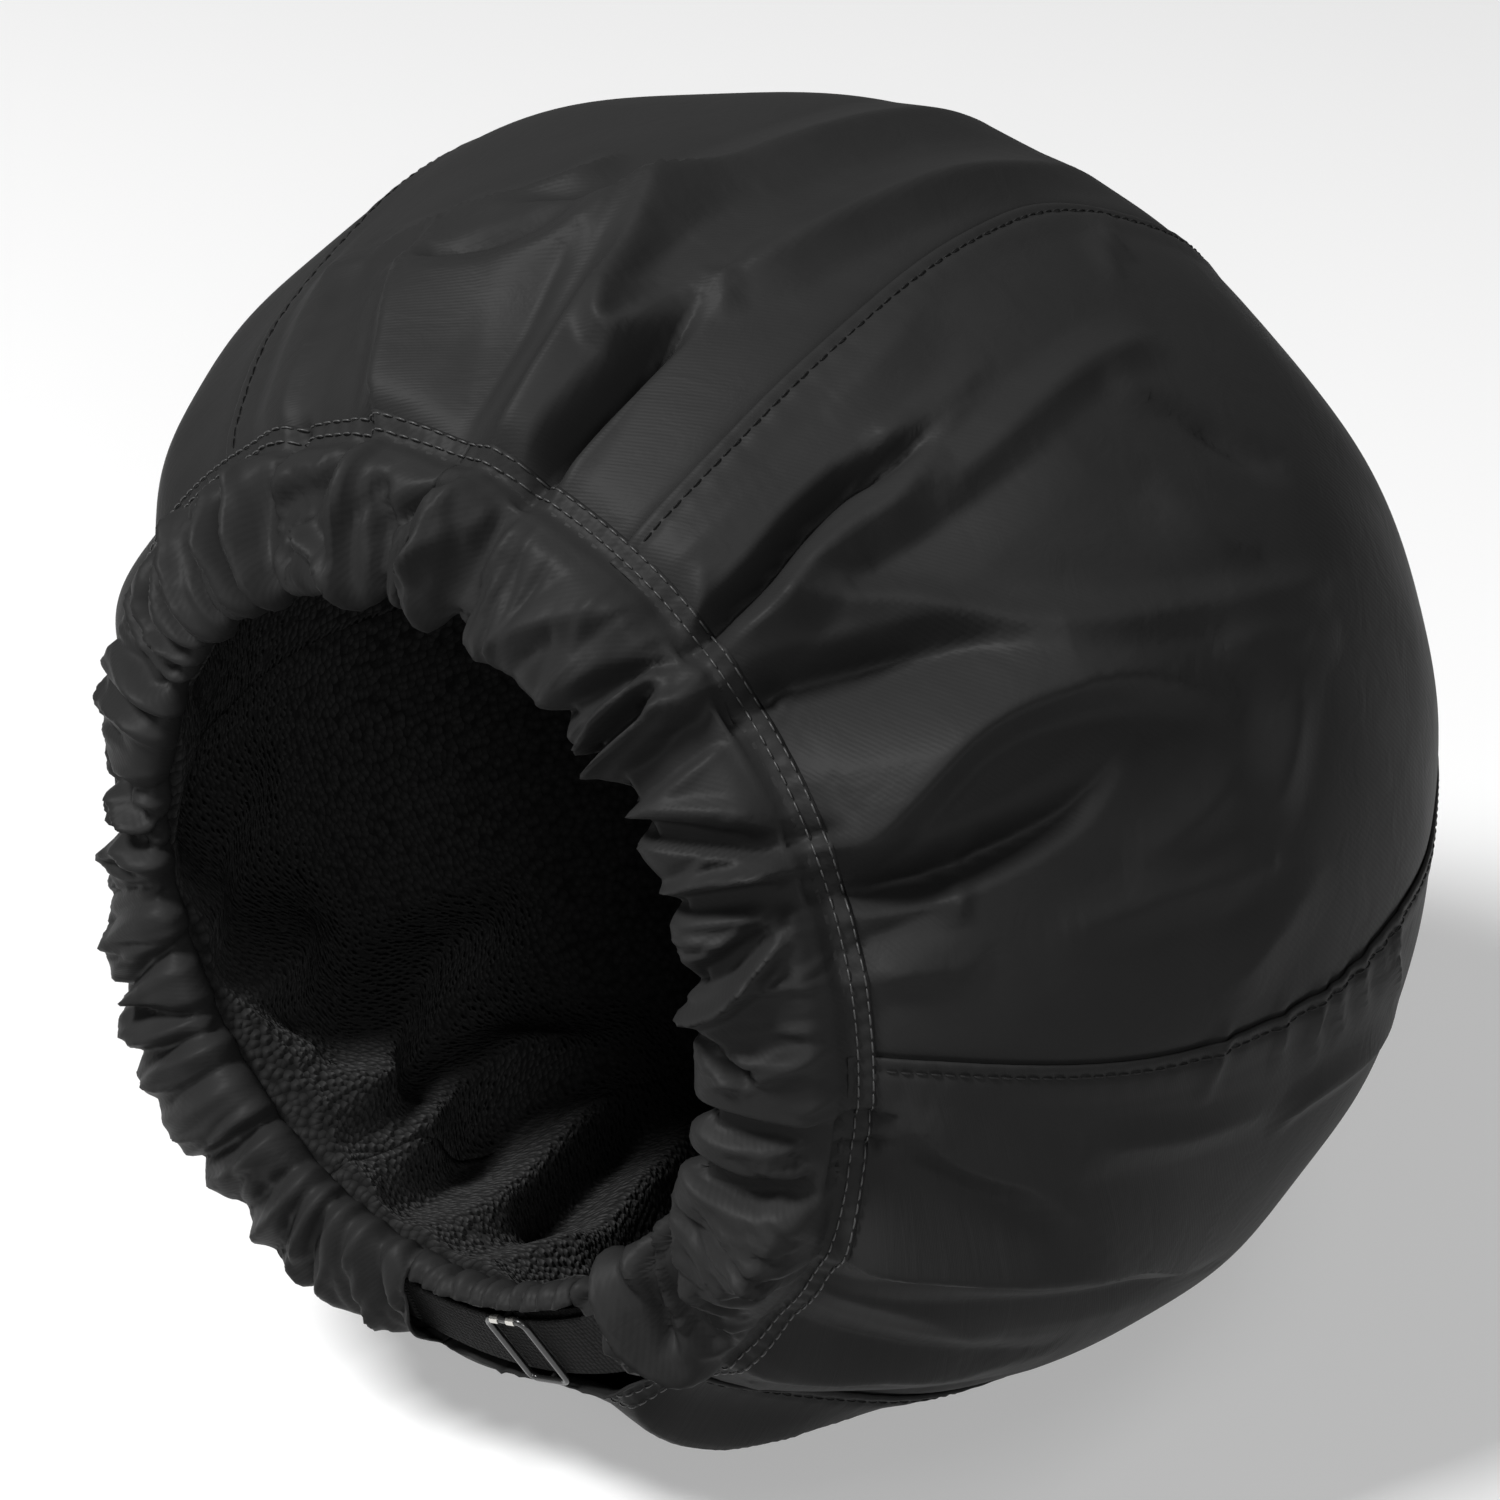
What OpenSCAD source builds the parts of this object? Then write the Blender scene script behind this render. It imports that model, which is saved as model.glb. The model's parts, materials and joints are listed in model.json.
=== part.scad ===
// Adjustable bath cap: a gored nylon crown with a terry lining, gathered on an elastic band.
// The cap lies on its side. +Z is up, the opening faces -Y, and the origin is the middle of the
// flattened patch that it rests on. Angles run round the opening, from +X towards +Z.

/* [Crown] */
// Diameter of the filled-out crown
crown_d = 304; // [290:1:320]
// How far the underside is flattened where the cap rests
rest_sink = 10; // [6:0.5:14]
// Number of sewn gores
gore_count = 6; // [5:1:8]
// Angle of the first seam
seam_phase = 4; // [0:1:8]
// How far the cloth dips at a seam
seam_dip = 1.2; // [0.4:0.1:2]
// Distance of the topstitching from its seam
welt_w = 3; // [2:0.25:5]

/* [Folds] */
// Height of the highest folds that the band draws into the crown
fold_h = 9; // [2:0.5:12]
// Distance from the band seam to the highest part of a fold
fold_reach = 26; // [18:1:40]

/* [Cloth] */
// Thickness of the crown shell
shell_t = 0.8; // [0.5:0.1:1.2]
// Thickness of the terry lining
lining_t = 2.6; // [1.8:0.1:3.4]
// Clearance between the shell and its lining
layer_gap = 0.4; // [0.3:0.05:0.8]
// Thickness of the band casing
casing_t = 0.8; // [0.5:0.1:1.2]

/* [Band] */
// Diameter of the relaxed opening
rim_d = 162; // [150:1:174]
// Width of the band, from its seam to the rim
band_w = 32; // [30:0.5:36]
// Slope of the band from the plane of the opening
band_tilt = 26; // [20:1:32]
// Half the depth of the band's tunnel
tunnel_h = 5; // [4.6:0.1:6]
// Overlap of the casing on the crown at the band seam
seam_lap = 3; // [2:0.25:5]
// Number of gathers round the band
gather_count = 26; // [20:1:30]
// Height of a gather
gather_h = 3.2; // [1:0.1:4]
// Angle of the seam that closes the casing
casing_seam = 88; // [70:1:110]

/* [Nape window] */
// Angle of the middle of the window
window_mid = -75.5; // [-90:0.5:-65]
// Length of the window, along the middle of the band
window_l = 58; // [50:1:70]
// How far the window's lip and rim reach round the tunnel
lip_turn = 32; // [20:1:36]

/* [Elastic and strap] */
// Width of the band elastic
elastic_w = 20; // [16:0.5:21]
// Thickness of the band elastic
elastic_t = 1; // [0.8:0.1:1.4]
// Width of the nape strap
strap_w = 18; // [14:0.5:19]
// Thickness of the nape strap
strap_t = 1; // [0.8:0.1:1.2]
// Thickness of a sewn end loop
loop_t = 0.8; // [0.6:0.1:1]
// Overlap of the strap on the band elastic, where it is sewn
strap_lap = 10; // [8:0.5:14]
// Length of the bartack along the strap
bartack_l = 2.5; // [2:0.1:4]

/* [Slider and anchor ring] */
// Length of the slider along the strap
slider_l = 13; // [10:0.5:15]
// Place of the slider along the strap, from the middle of the window
slider_shift = 2.5; // [-6:0.5:6]
// Wire of the slider frame
slider_wire_d = 1.6; // [1.2:0.1:2]
// Wire of the slider bar and the anchor ring
bar_d = 1.2; // [1:0.1:1.4]
// Corner radius of the bent wires, at their middle
wire_bend_r = 2; // [1.5:0.1:2.5]
// Length of each bare tip on the slider's rim side
tip_l = 2.4; // [1.5:0.1:3]
// Wall of each bare tip
tip_wall = 0.25; // [0.15:0.05:0.4]
// Distance between the two bars of the anchor ring
anchor_span = 5.2; // [4.8:0.1:6]
// Distance of the anchor ring from the window
anchor_back = 8; // [6:0.5:12]

/* [Stitching] */
// Width of a topstitching thread
thread_d = 0.6; // [0.4:0.1:0.8]

/* [Fits] */
// Clearance between sewn layers
sew_gap = 0.15; // [0.1:0.05:0.25]
// Clearance of the sliding pieces
slide_gap = 0.4; // [0.3:0.05:0.6]
// Clearance at the strap's edges, inside a wire frame
side_gap = 0.6; // [0.4:0.1:1]

/* [Hidden] */
crown_r = crown_d / 2;
centre_z = crown_r - rest_sink;
gore = 360 / gore_count;

// Band seam, on the crown
ring_r = rim_d / 2 + band_w * cos(band_tilt);
ring_a = asin(ring_r / crown_r);
ring_y = -crown_r * cos(ring_a);
lining_depth = shell_t + layer_gap;
cloth_depth = lining_depth + lining_t;

// The tunnel starts clear of the lining's edge and is an ellipse across the band
tunnel_from = cloth_depth * sin(ring_a - band_tilt) + 2 * sew_gap;
tunnel_half = (band_w - tunnel_from) / 2;
band_mid = tunnel_from + tunnel_half;
mid_r = ring_r - band_mid * cos(band_tilt);
function arc(l) = l / mid_r * 180 / PI;

// Window and slider angles
window_from = window_mid - arc(window_l) / 2;
window_to = window_mid + arc(window_l) / 2;
slider_a = window_mid + arc(slider_shift);

// Levels across the tunnel: the strap's return lies lowest, then the ring's bar, then the strap
loop_r = bar_d / 2 + sew_gap + loop_t;
stack_top = strap_t * 1.5 + bar_d + 2 * slide_gap;
return_h = (loop_r - stack_top) / 2;
ring_h = return_h + strap_t / 2 + slide_gap + bar_d / 2;
strap_h = ring_h + bar_d / 2 + slide_gap + strap_t / 2;
frame_h = strap_h + strap_t / 2 + slide_gap + slider_wire_d / 2;
turn_r = (strap_h - return_h - strap_t) / 2;
anchor_a = window_to + arc(anchor_back);
elastic_from = anchor_a + arc(anchor_span + bar_d / 2 + slide_gap);
elastic_to = window_from + 360 - arc(sew_gap);

// Main folds: reach in mm to the side of lower and of higher angles, then points along the fold, as
// angle, distance from the band seam in fold_reach, height in fold_h
main_folds = [
    [14, 17, [[-58, 0, -0.26], [-57, 0.77, -0.38], [-53, 1.92, -0.38], [-48, 3.46, 0]]],
    [11, 20, [[-48.1, 0, 0.15], [-45.2, 0.43, 0.29], [-42.4, 1.28, 0.28], [-42.6, 1.69, 0.23],
        [-42.3, 2.63, 0.08], [-42, 3.27, 0]]],
    [13, 9, [[-35.8, 0.15, -0.28], [-37.1, 0.7, -0.41], [-37.7, 1.23, -0.41], [-38.3, 1.77, -0.32],
        [-39.7, 2.44, -0.19], [-40, 3.08, 0]]],
    [9, 20, [[-23.5, 0, 0.26], [-21.6, 0.91, 0.7], [-22.4, 1.9, 0.66], [-22.9, 2.32, 0.61],
        [-29.3, 3.63, 0.28], [-40, 5.08, 0]]],
    [16, 16, [[-10.1, 0.1, -0.32], [-13.4, 0.63, -0.38], [-16.2, 1.22, -0.32], [-18, 1.77, 0]]],
    [8, 11, [[23, 0, -0.64], [19.8, 0.84, -1.15], [20.2, 1.25, -1.09], [21.5, 2.02, -0.64],
        [22.9, 2.3, -0.38], [27, 2.92, 0]]],
    [8, 20, [[26.8, 0, 0.26], [28.2, 0.77, 0.7], [31.6, 1.45, 0.89], [31.8, 2.18, 0.83],
        [29.7, 2.96, 0.51], [23.5, 3.85, 0]]],
    [18, 8, [[44.2, 0, -0.51], [43.3, 0.37, -0.89], [41.5, 0.91, -1.09], [38.2, 1.82, -0.7],
        [37, 2.12, -0.32], [36, 2.46, 0]]],
    [7, 10, [[51.6, 0, -0.64], [53.5, 0.77, -1.28], [54.9, 1.23, -1.28], [55.2, 2.06, -0.89],
        [55.3, 2.4, -0.51], [56.5, 3.31, 0]]],
    [8, 16, [[77.4, 0.03, -0.64], [78.7, 0.55, -0.96], [78.2, 1.62, -0.96], [77.8, 1.99, -0.7],
        [78.6, 2.57, -0.13], [79, 3.08, 0]]],
    [20, 8, [[84.8, 0, 0.32], [84.1, 0.98, 0.64], [84.8, 1.41, 0.64], [85.8, 2.16, 0.51],
        [87, 2.56, 0.38], [91, 3.46, 0]]],
    [12, 15, [[90.6, 2.58, 0.09], [87.4, 3.22, 0.36], [86.4, 3.64, 0.38], [85.1, 4.71, 0.33],
        [85.1, 5.53, 0.26], [86.5, 7.69, 0]]],
    [10, 12, [[77.5, 2.41, 0.19], [76, 2.77, 0.38], [74.7, 4.01, 0.45], [74.4, 4.74, 0.38],
        [74.6, 6.6, 0.13], [75.3, 7.5, 0]]],
    [20, 11, [[101.2, 0, 0.32], [101.8, 0.44, 0.57], [106, 1.37, 0.49], [108.1, 1.7, 0.36],
        [109.5, 2.23, 0.13], [112, 2.38, 0]]],
    [14, 10, [[114.9, 0.21, -0.19], [116.6, 0.88, -0.28], [117.8, 1.62, -0.28], [117.4, 2.11, -0.15],
        [116.5, 2.46, 0]]],
    [11, 14, [[117.5, 0, 0.15], [117, 0.55, 0.31], [117.7, 0.98, 0.31], [120.9, 1.87, 0.18],
        [123.3, 2.4, 0.08], [125, 3.08, 0]]]];
fold_start = 8;

// Smaller folds of the far side: angle, share of fold_h, half width in degrees
far_folds = [
    [142, 0.45, 6], [152, -0.55, 5], [163, 0.5, 6], [176, -0.5, 5], [189, 0.45, 6], [200, -0.5, 5],
    [212, 0.45, 6], [226, -0.4, 6], [238, 0.4, 6], [252, -0.3, 6], [264, 0.3, 6], [278, -0.3, 6],
    [291, 0.35, 6]];

// Where the whole crown is fuller or pressed in: angle, distance from the band seam, height, reach
swells = [
    [61, 233, -3.5, 45], [121, 131, 4, 24], [132, 100, 3, 22], [158, 40, -3, 18], [176, 14, -7, 16],
    [-66, 82, -5, 24], [-44, 140, 4, 20]];

// Shares of the two waves that make the gathers, and their turns
gather_mix = 0.64;
gather_drift = 50;
second_gathers = 17;
second_gather_turn = 30;

// Grids of the cloth
panel_rows = 13;
panel_cols = 16;
row_ease = 1.4;
gather_step = 3.84;
thread_sides = [[-1, -0.5], [-1, 1], [1, 1], [1, -0.5]];
tunnel_open = 14;
stitch_rows = [0.2, 0.8];
casing_turns = [tunnel_open, 55, 95, 135, 160, 180, 205, 245, 295, 360 - tunnel_open];
lip_turns = [tunnel_open, lip_turn];
facing_turns = [180 - lip_turn, 180, 205, 245, 295, 360 - tunnel_open];
round_fn = 180;
wire_fn = 32;

// Places on the crown and the band

// A point at angle a, radius r and depth y along the opening's axis
function place(a, r, y) = [r * cos(a), y, centre_z + r * sin(a)];

// Distance along the crown from the band seam, for polar angle t
function reach(t) = (t - ring_a) * PI / 180 * crown_r;

// Far folds grow from the edge of the seam's overlap, stand highest at fold_reach, and fade
function fold_fade(m) = let(s = max(0, m - seam_lap) / fold_reach) s * exp(1 - s);
function turn_between(a, b) = let(d = (a - b) % 360) d > 180 ? d - 360 : d < -180 ? d + 360 : d;
function add(list) = [for (v = list) 1] * list;
function fold_wave(a) = add([for (f = far_folds) f[1] * exp(-pow(turn_between(a, f[0]) / f[2], 2))]);

// Main folds, from their own points
function fold_point(f, m, k) = lookup(m / fold_reach, [for (p = f[2]) [p[1], p[k]]]);
function fold_share(f, a, t) =
    let(off = turn_between(a, fold_point(f, reach(t), 0)) * PI / 180 * crown_r * sin(t))
    fold_point(f, reach(t), 2) * pow(max(0, 1 - abs(off) / (off < 0 ? f[0] : f[1])), 2);
function fold_rise(m) = min(1, max(0, m - seam_lap) / fold_start);

// The height of the cloth over the crown's sphere
function swell(b, a, t) =
    let(off = turn_between(a, b[0]) * PI / 180 * crown_r * sin(t))
    b[2] * exp(-(pow(off, 2) + pow(reach(t) - b[1], 2)) / (2 * pow(b[3], 2)));
function relief(a, t) =
    let(m = reach(t))
    fold_h * fold_wave(a) * fold_fade(m)
        + fold_rise(m) * (fold_h * add([for (f = main_folds) fold_share(f, a, t)])
            + add([for (b = swells) swell(b, a, t)]));

// The crown's surface, depth mm under its outer face, held up by the floor
function on_crown(a, t, depth, dip = 0) =
    let(r = crown_r + relief(a, t) - dip - depth,
        p = place(a, r * sin(t), -r * cos(t)))
    [p.x, p.y, max(p.z, depth)];

// A point of the band: s from the seam towards the rim, h out from the middle of the tunnel
function band_r(s, h) = ring_r - s * cos(band_tilt) + h * sin(band_tilt);
function band_y(s, h) = ring_y - s * sin(band_tilt) - h * cos(band_tilt);
function on_band(a, s, h) = place(a, band_r(s, h), band_y(s, h));

// Gathers, from 0 in a valley to 1 on a crest
function gathers(a) =
    let(main = cos(gather_count * a + gather_drift * sin(3 * a)),
        second = cos(second_gathers * a + second_gather_turn))
    (1 + gather_mix * main + (1 - gather_mix) * second) / 2;

// Cloth solids

// Faces of two matching grids of points, the outer one first, joined round their edges
function grid_faces(rows, cols) =
    let(n = rows * cols,
        at = function(i, j) i * cols + j)
    concat(
        [for (i = [0:rows - 2], j = [0:cols - 2], k = [0, 1])
            k == 0 ? [at(i, j), at(i, j + 1), at(i + 1, j + 1)] : [at(i, j), at(i + 1, j + 1), at(i + 1, j)]],
        [for (i = [0:rows - 2], j = [0:cols - 2], k = [0, 1])
            k == 0 ? [n + at(i, j), n + at(i + 1, j + 1), n + at(i, j + 1)]
                   : [n + at(i, j), n + at(i + 1, j), n + at(i + 1, j + 1)]],
        [for (j = [0:cols - 2], e = [0, rows - 1], k = [0, 1])
            edge_face(at(e, j), at(e, j + 1), n, e == 0, k)],
        [for (i = [0:rows - 2], e = [0, cols - 1], k = [0, 1])
            edge_face(at(i, e), at(i + 1, e), n, e > 0, k)]);
function edge_face(p, q, n, turned, k) =
    let(a = turned ? q : p, b = turned ? p : q)
    k == 0 ? [a, b, n + b] : [a, n + b, n + a];

// Polar angle of a row of the crown: the band seam, the edge of its overlap, then longer steps
lap_a = ring_a + seam_lap / crown_r * 180 / PI;
function row_turn(i) = i == 0 ? ring_a : lap_a + (180 - lap_a) * pow((i - 1) / (panel_rows - 1), row_ease);

// Angle of a column of gore g: even steps from its first seam to the topstitching by its second
function welt_turn(t) = min(gore / panel_cols, welt_w / (crown_r * sin(t)) * 180 / PI);
function col_turn(g, j, t) =
    let(from = seam_phase + gore * (g - 1))
    j == panel_cols ? from + gore : from + (gore - welt_turn(t)) * j / (panel_cols - 1);
function dip_at(j) = j == 0 || j == panel_cols ? seam_dip : 0;

// A gore of the crown between two depths, closing to a point at the back
module gore_panel(g, from, to) {
    rows = panel_rows;
    cols = panel_cols + 1;
    half = rows * cols + 1;
    points = [for (depth = [from, to])
        each concat(
            [for (i = [0:rows - 1], j = [0:panel_cols])
                on_crown(col_turn(g, j, row_turn(i)), row_turn(i), depth, dip_at(j))],
            [on_crown(0, 180, depth, seam_dip)])];
    last = (rows - 1) * cols;
    tip = rows * cols;
    sheet = [for (i = [0:rows - 2], j = [0:cols - 2], k = [0, 1])
        let(p = i * cols + j)
        k == 0 ? [p, p + 1, p + cols + 1] : [p, p + cols + 1, p + cols]];
    fan = [for (j = [0:cols - 2]) [last + j, last + j + 1, tip]];
    front = [for (j = [0:cols - 2], k = [0, 1]) edge_face(j, j + 1, half, true, k)];
    sides = [for (i = [0:rows - 1], e = [0, cols - 1], k = [0, 1])
        edge_face(i * cols + e, i < rows - 1 ? (i + 1) * cols + e : tip, half, e > 0, k)];
    back = [for (f = concat(sheet, fan)) [f[0] + half, f[2] + half, f[1] + half]];
    polyhedron(points, concat(sheet, fan, back, front, sides));
}

// Points across the casing at angle a: its overlap on the crown, then turns round the tunnel
function lap_points(a, inset) =
    [for (m = [seam_lap, 0])
        on_crown(a, ring_a + m / crown_r * 180 / PI, inset - casing_t - sew_gap)];
function tunnel_points(a, turns, inset) =
    [for (t = turns)
        let(g = gather_h * gathers(a) * sin(t / 2))
        on_band(a, band_mid - cos(t) * (tunnel_half - inset + g), sin(t) * (tunnel_h - inset + g))];

// A length of casing from one angle to another
module casing_length(from, to, turns, lapped) {
    steps = ceil((to - from) / gather_step);
    stations = [for (i = [0:steps]) from + (to - from) * i / steps];
    cols = len(turns) + (lapped ? 2 : 0);
    points = [for (inset = [0, casing_t], a = stations)
        each concat(lapped ? lap_points(a, inset) : [], tunnel_points(a, turns, inset))];
    faces = grid_faces(len(stations), cols);
    polyhedron(points, faces);
}

// Turned and bent shapes

// The opening's axis as the local Z, with angles round it as above
module on_axis() {
    translate([0, 0, centre_z])
        rotate([90, 0, 0])
            children();
}

// A flat strip round the band, centred at height h
module band_strip(w, t, h, from, to) {
    corners = [for (c = [[-1, -1], [1, -1], [1, 1], [-1, 1]])
        let(s = band_mid + c.x * w / 2, level = h + c.y * t / 2)
        [band_r(s, level), -band_y(s, level)]];
    on_axis()
        rotate([0, 0, from])
            rotate_extrude(angle = to - from, $fn = round_fn)
                polygon(corners);
}

// Local frame on the band at angle a: X towards the seam, Y round the band, Z outwards
module at_band(a, h) {
    on_axis()
        rotate([0, 0, a])
            translate([band_r(band_mid, h), 0, -band_y(band_mid, h)])
                rotate([0, band_tilt, 0])
                    children();
}

// A straight wire along local X
module wire_x(l, d) {
    rotate([0, 90, 0])
        cylinder(d = d, h = l, center = true, $fn = wire_fn);
}

// A closed rectangle of bent wire, w by l at the wire's middle
module wire_rectangle(w, l, d) {
    for (side = [-1, 1]) {
        translate([0, side * l / 2, 0])
            wire_x(w - 2 * wire_bend_r, d);
        translate([side * w / 2, 0, 0])
            rotate([0, 0, 90])
                wire_x(l - 2 * wire_bend_r, d);
        for (end = [-1, 1])
            translate([side * (w / 2 - wire_bend_r), end * (l / 2 - wire_bend_r), 0])
                rotate([0, 0, side > 0 ? (end > 0 ? 0 : -90) : (end > 0 ? 90 : 180)])
                    rotate_extrude(angle = 90, $fn = wire_fn)
                        translate([wire_bend_r, 0])
                            circle(d = d, $fn = wire_fn);
    }
}

// A sewn loop round a bar that lies along local X
module bar_loop(l, inner_r, wall) {
    rotate([0, 90, 0])
        difference() {
            cylinder(r = inner_r + wall, h = l, center = true, $fn = wire_fn);
            cylinder(r = inner_r, h = l + 1, center = true, $fn = wire_fn);
        }
}

// Widths of the wire frames, at the wire's middle
slider_span = strap_w + 2 * side_gap + slider_wire_d;
ring_span = strap_w + 2 * side_gap + 2 * wire_bend_r;

// The cap's pieces

module shell_panel(g) {
    color("#26272a")
        gore_panel(g, 0, shell_t);
}

module lining_panel(g) {
    color("#141415")
        gore_panel(g, lining_depth, cloth_depth);
}

// Thread along one seam, half sunk in the cloth, from the band seam to near the crown's back
module seam_topstitch(g) {
    first = welt_w / 2 / (reach(row_turn(2)) - reach(row_turn(1)));
    line = [for (i = [1:panel_rows - 1], side = thread_sides)
        let(t = row_turn(i),
            a = col_turn(g, panel_cols - 1, t),
            shift = side.x * thread_d / 2 / (crown_r * sin(t)) * 180 / PI)
        on_crown(a + shift, t, -side.y * thread_d / 2)];
    cols = len(thread_sides);
    start = [for (j = [0:cols - 1]) line[j] + (line[cols + j] - line[j]) * first];
    points = concat(start, [for (i = [cols:len(line) - 1]) line[i]]);
    rows = len(points) / cols;
    walls = [for (i = [0:rows - 2], j = [0:cols - 1], k = [0, 1])
        let(p = i * cols + j, q = i * cols + (j + 1) % cols)
        k == 0 ? [p, q, q + cols] : [p, q + cols, p + cols]];
    last = (rows - 1) * cols;
    caps = [[2, 1, 0], [3, 2, 0], [last, last + 1, last + 2], [last, last + 2, last + 3]];
    color("#101011")
        polyhedron(points, concat(walls, caps));
}

module band_casing_left() {
    color("#2c2d30")
        casing_length(casing_seam, window_from + 360, casing_turns, true);
}

module band_casing_right() {
    color("#2c2d30")
        casing_length(window_to, casing_seam, casing_turns, true);
}

module window_facing() {
    color("#232427")
        casing_length(window_from, window_to, facing_turns, false);
}

module window_lip() {
    color("#2c2d30")
        casing_length(window_from, window_to, lip_turns, true);
}

// Two rows of thread round the band seam, on the casing's overlap
module band_topstitch() {
    row_r = crown_r + sew_gap + casing_t;
    color("#101011")
        on_axis()
            for (m = stitch_rows) {
                t = ring_a + m * seam_lap / crown_r * 180 / PI;
                rotate_extrude($fn = round_fn)
                    translate([row_r * sin(t), row_r * cos(t)])
                        circle(d = thread_d, $fn = wire_fn);
            }
}

// Concealed elastic, its right end looped round the anchor ring
module band_elastic() {
    color("#1a1a1b") {
        band_strip(elastic_w, elastic_t, ring_h, elastic_from, elastic_to);
        at_band(anchor_a + arc(anchor_span), ring_h)
            bar_loop(strap_w, bar_d / 2 + slide_gap, loop_t);
    }
}

module anchor_ring() {
    color("#3a3b3e")
        at_band(anchor_a + arc(anchor_span / 2), ring_h)
            wire_rectangle(ring_span, anchor_span, bar_d);
}

// The strap that shows in the window, from its sewn end to its turn round the anchor ring
module nape_strap() {
    color("#18181a") {
        band_strip(strap_w, strap_t, strap_h, window_from - arc(strap_lap), anchor_a + arc(sew_gap));
        at_band(anchor_a, ring_h)
            intersection() {
                bar_loop(strap_w, turn_r, strap_t);
                translate([0, turn_r + strap_t, 0])
                    cube([strap_w, 2 * (turn_r + strap_t), 2 * (turn_r + strap_t)], center = true);
            }
    }
}

// The layer that comes back from the anchor ring to the slider
module strap_return() {
    color("#18181a")
        band_strip(strap_w, strap_t, return_h, slider_a + arc(loop_r + sew_gap), anchor_a);
}

module strap_bartack() {
    bottom = ring_h - elastic_t / 2;
    top = strap_h + strap_t / 2 + thread_d / 2;
    middle = window_from - arc(strap_lap / 2);
    color("#101011")
        band_strip(strap_w - 2 * bartack_l, top - bottom, (top + bottom) / 2,
            middle - arc(bartack_l / 2), middle + arc(bartack_l / 2));
}

module strap_end_loop() {
    color("#18181a")
        at_band(slider_a, return_h)
            bar_loop(strap_w, bar_d / 2 + sew_gap, loop_t);
}

module slider_frame() {
    color("#1f2022")
        at_band(slider_a, frame_h)
            wire_rectangle(slider_span, slider_l - slider_wire_d, slider_wire_d);
}

// The bar under the strap, with a post up to the frame at each end
module slider_bar() {
    color("#1f2022")
        at_band(slider_a, return_h) {
            wire_x(slider_span, bar_d);
            for (side = [-1, 1])
                translate([side * slider_span / 2, 0, -bar_d / 2])
                    cylinder(d = bar_d, h = frame_h - return_h + bar_d / 2, $fn = wire_fn);
        }
}

// Bare bright tips on the rim side of the frame
module slider_tips() {
    spread = slider_l - slider_wire_d - 2 * wire_bend_r - tip_l;
    color("silver")
        at_band(slider_a, frame_h)
            for (side = [-1, 1])
                translate([-slider_span / 2, side * spread / 2, 0])
                    rotate([0, 0, 90])
                        difference() {
                            wire_x(tip_l, slider_wire_d + 2 * tip_wall);
                            wire_x(tip_l + 1, slider_wire_d);
                        }
}

for (i = [1:gore_count]) {
    shell_panel(i);
    lining_panel(i);
    seam_topstitch(i);
}
band_casing_left();
band_casing_right();
window_facing();
window_lip();
band_topstitch();
band_elastic();
anchor_ring();
nape_strap();
strap_return();
strap_bartack();
strap_end_loop();
slider_frame();
slider_bar();
slider_tips();
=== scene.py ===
import json
import math
import random
import bpy
import numpy as np
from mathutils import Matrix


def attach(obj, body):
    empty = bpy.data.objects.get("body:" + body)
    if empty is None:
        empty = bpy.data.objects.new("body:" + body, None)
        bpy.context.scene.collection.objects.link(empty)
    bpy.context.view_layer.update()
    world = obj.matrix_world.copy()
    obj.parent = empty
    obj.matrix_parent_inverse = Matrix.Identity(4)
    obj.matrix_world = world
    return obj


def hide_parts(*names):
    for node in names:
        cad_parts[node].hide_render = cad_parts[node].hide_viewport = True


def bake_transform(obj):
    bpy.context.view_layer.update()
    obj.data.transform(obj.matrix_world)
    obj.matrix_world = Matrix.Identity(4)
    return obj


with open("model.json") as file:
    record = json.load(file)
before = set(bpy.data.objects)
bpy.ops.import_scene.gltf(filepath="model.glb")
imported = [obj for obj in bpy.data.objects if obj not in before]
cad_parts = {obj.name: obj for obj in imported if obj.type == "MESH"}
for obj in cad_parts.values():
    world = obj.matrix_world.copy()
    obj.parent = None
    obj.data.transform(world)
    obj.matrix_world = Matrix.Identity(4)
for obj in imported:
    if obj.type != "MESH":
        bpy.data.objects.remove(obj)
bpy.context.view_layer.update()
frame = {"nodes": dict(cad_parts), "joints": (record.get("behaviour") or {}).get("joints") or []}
print("frame loaded,", len(frame["nodes"]), "nodes")

# the cap's sizes in mm, as its solids have them; angles run round the opening, from +X upwards
cap = {
    "crownR": 152.0,
    "rimR": 81.0,
    "bandW": 32.0,
    "bandTilt": 26.0,
    "tunnelFrom": 1.6,
    "tunnelH": 5.0,
    "lapW": 4.2,
    "goreCount": 6,
    "seamPhase": 4.0,
    "windowFrom": -93.05,
    "windowTo": -57.95,
    "casingSeam": 88.0,
}
mm = 0.001
centreZ = frame["joints"][0]["pos_m"][2] / mm
tilt = math.radians(cap["bandTilt"])
ringR = cap["rimR"] + cap["bandW"] * math.cos(tilt)
ringTurn = math.asin(ringR / cap["crownR"])
ringY = -cap["crownR"] * math.cos(ringTurn)
poleW = (math.pi - ringTurn) * cap["crownR"]


def around(phi, r, y):
    turn = np.radians(phi)
    return np.stack(np.broadcast_arrays(r * np.cos(turn), y, centreZ + r * np.sin(turn)), -1)


def smoothStep(x):
    x = np.clip(x, 0, 1)
    return x * x * (3 - 2 * x)


def bell(x, height, at, half):
    return height * np.exp(-((x - at) / half) ** 2)


def blurred(values, count):
    return np.convolve(np.pad(values, count // 2, mode="edge"), np.ones(count) / count, mode="valid")


def turnFrom(phi, at):
    return (phi - at + 180) % 360 - 180  # the short way round


# the outside of the cap has one pair of coordinates: phi round the opening, and w in mm from the
# band seam, up the crown where it is positive and down the band and round the rim where negative

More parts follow.
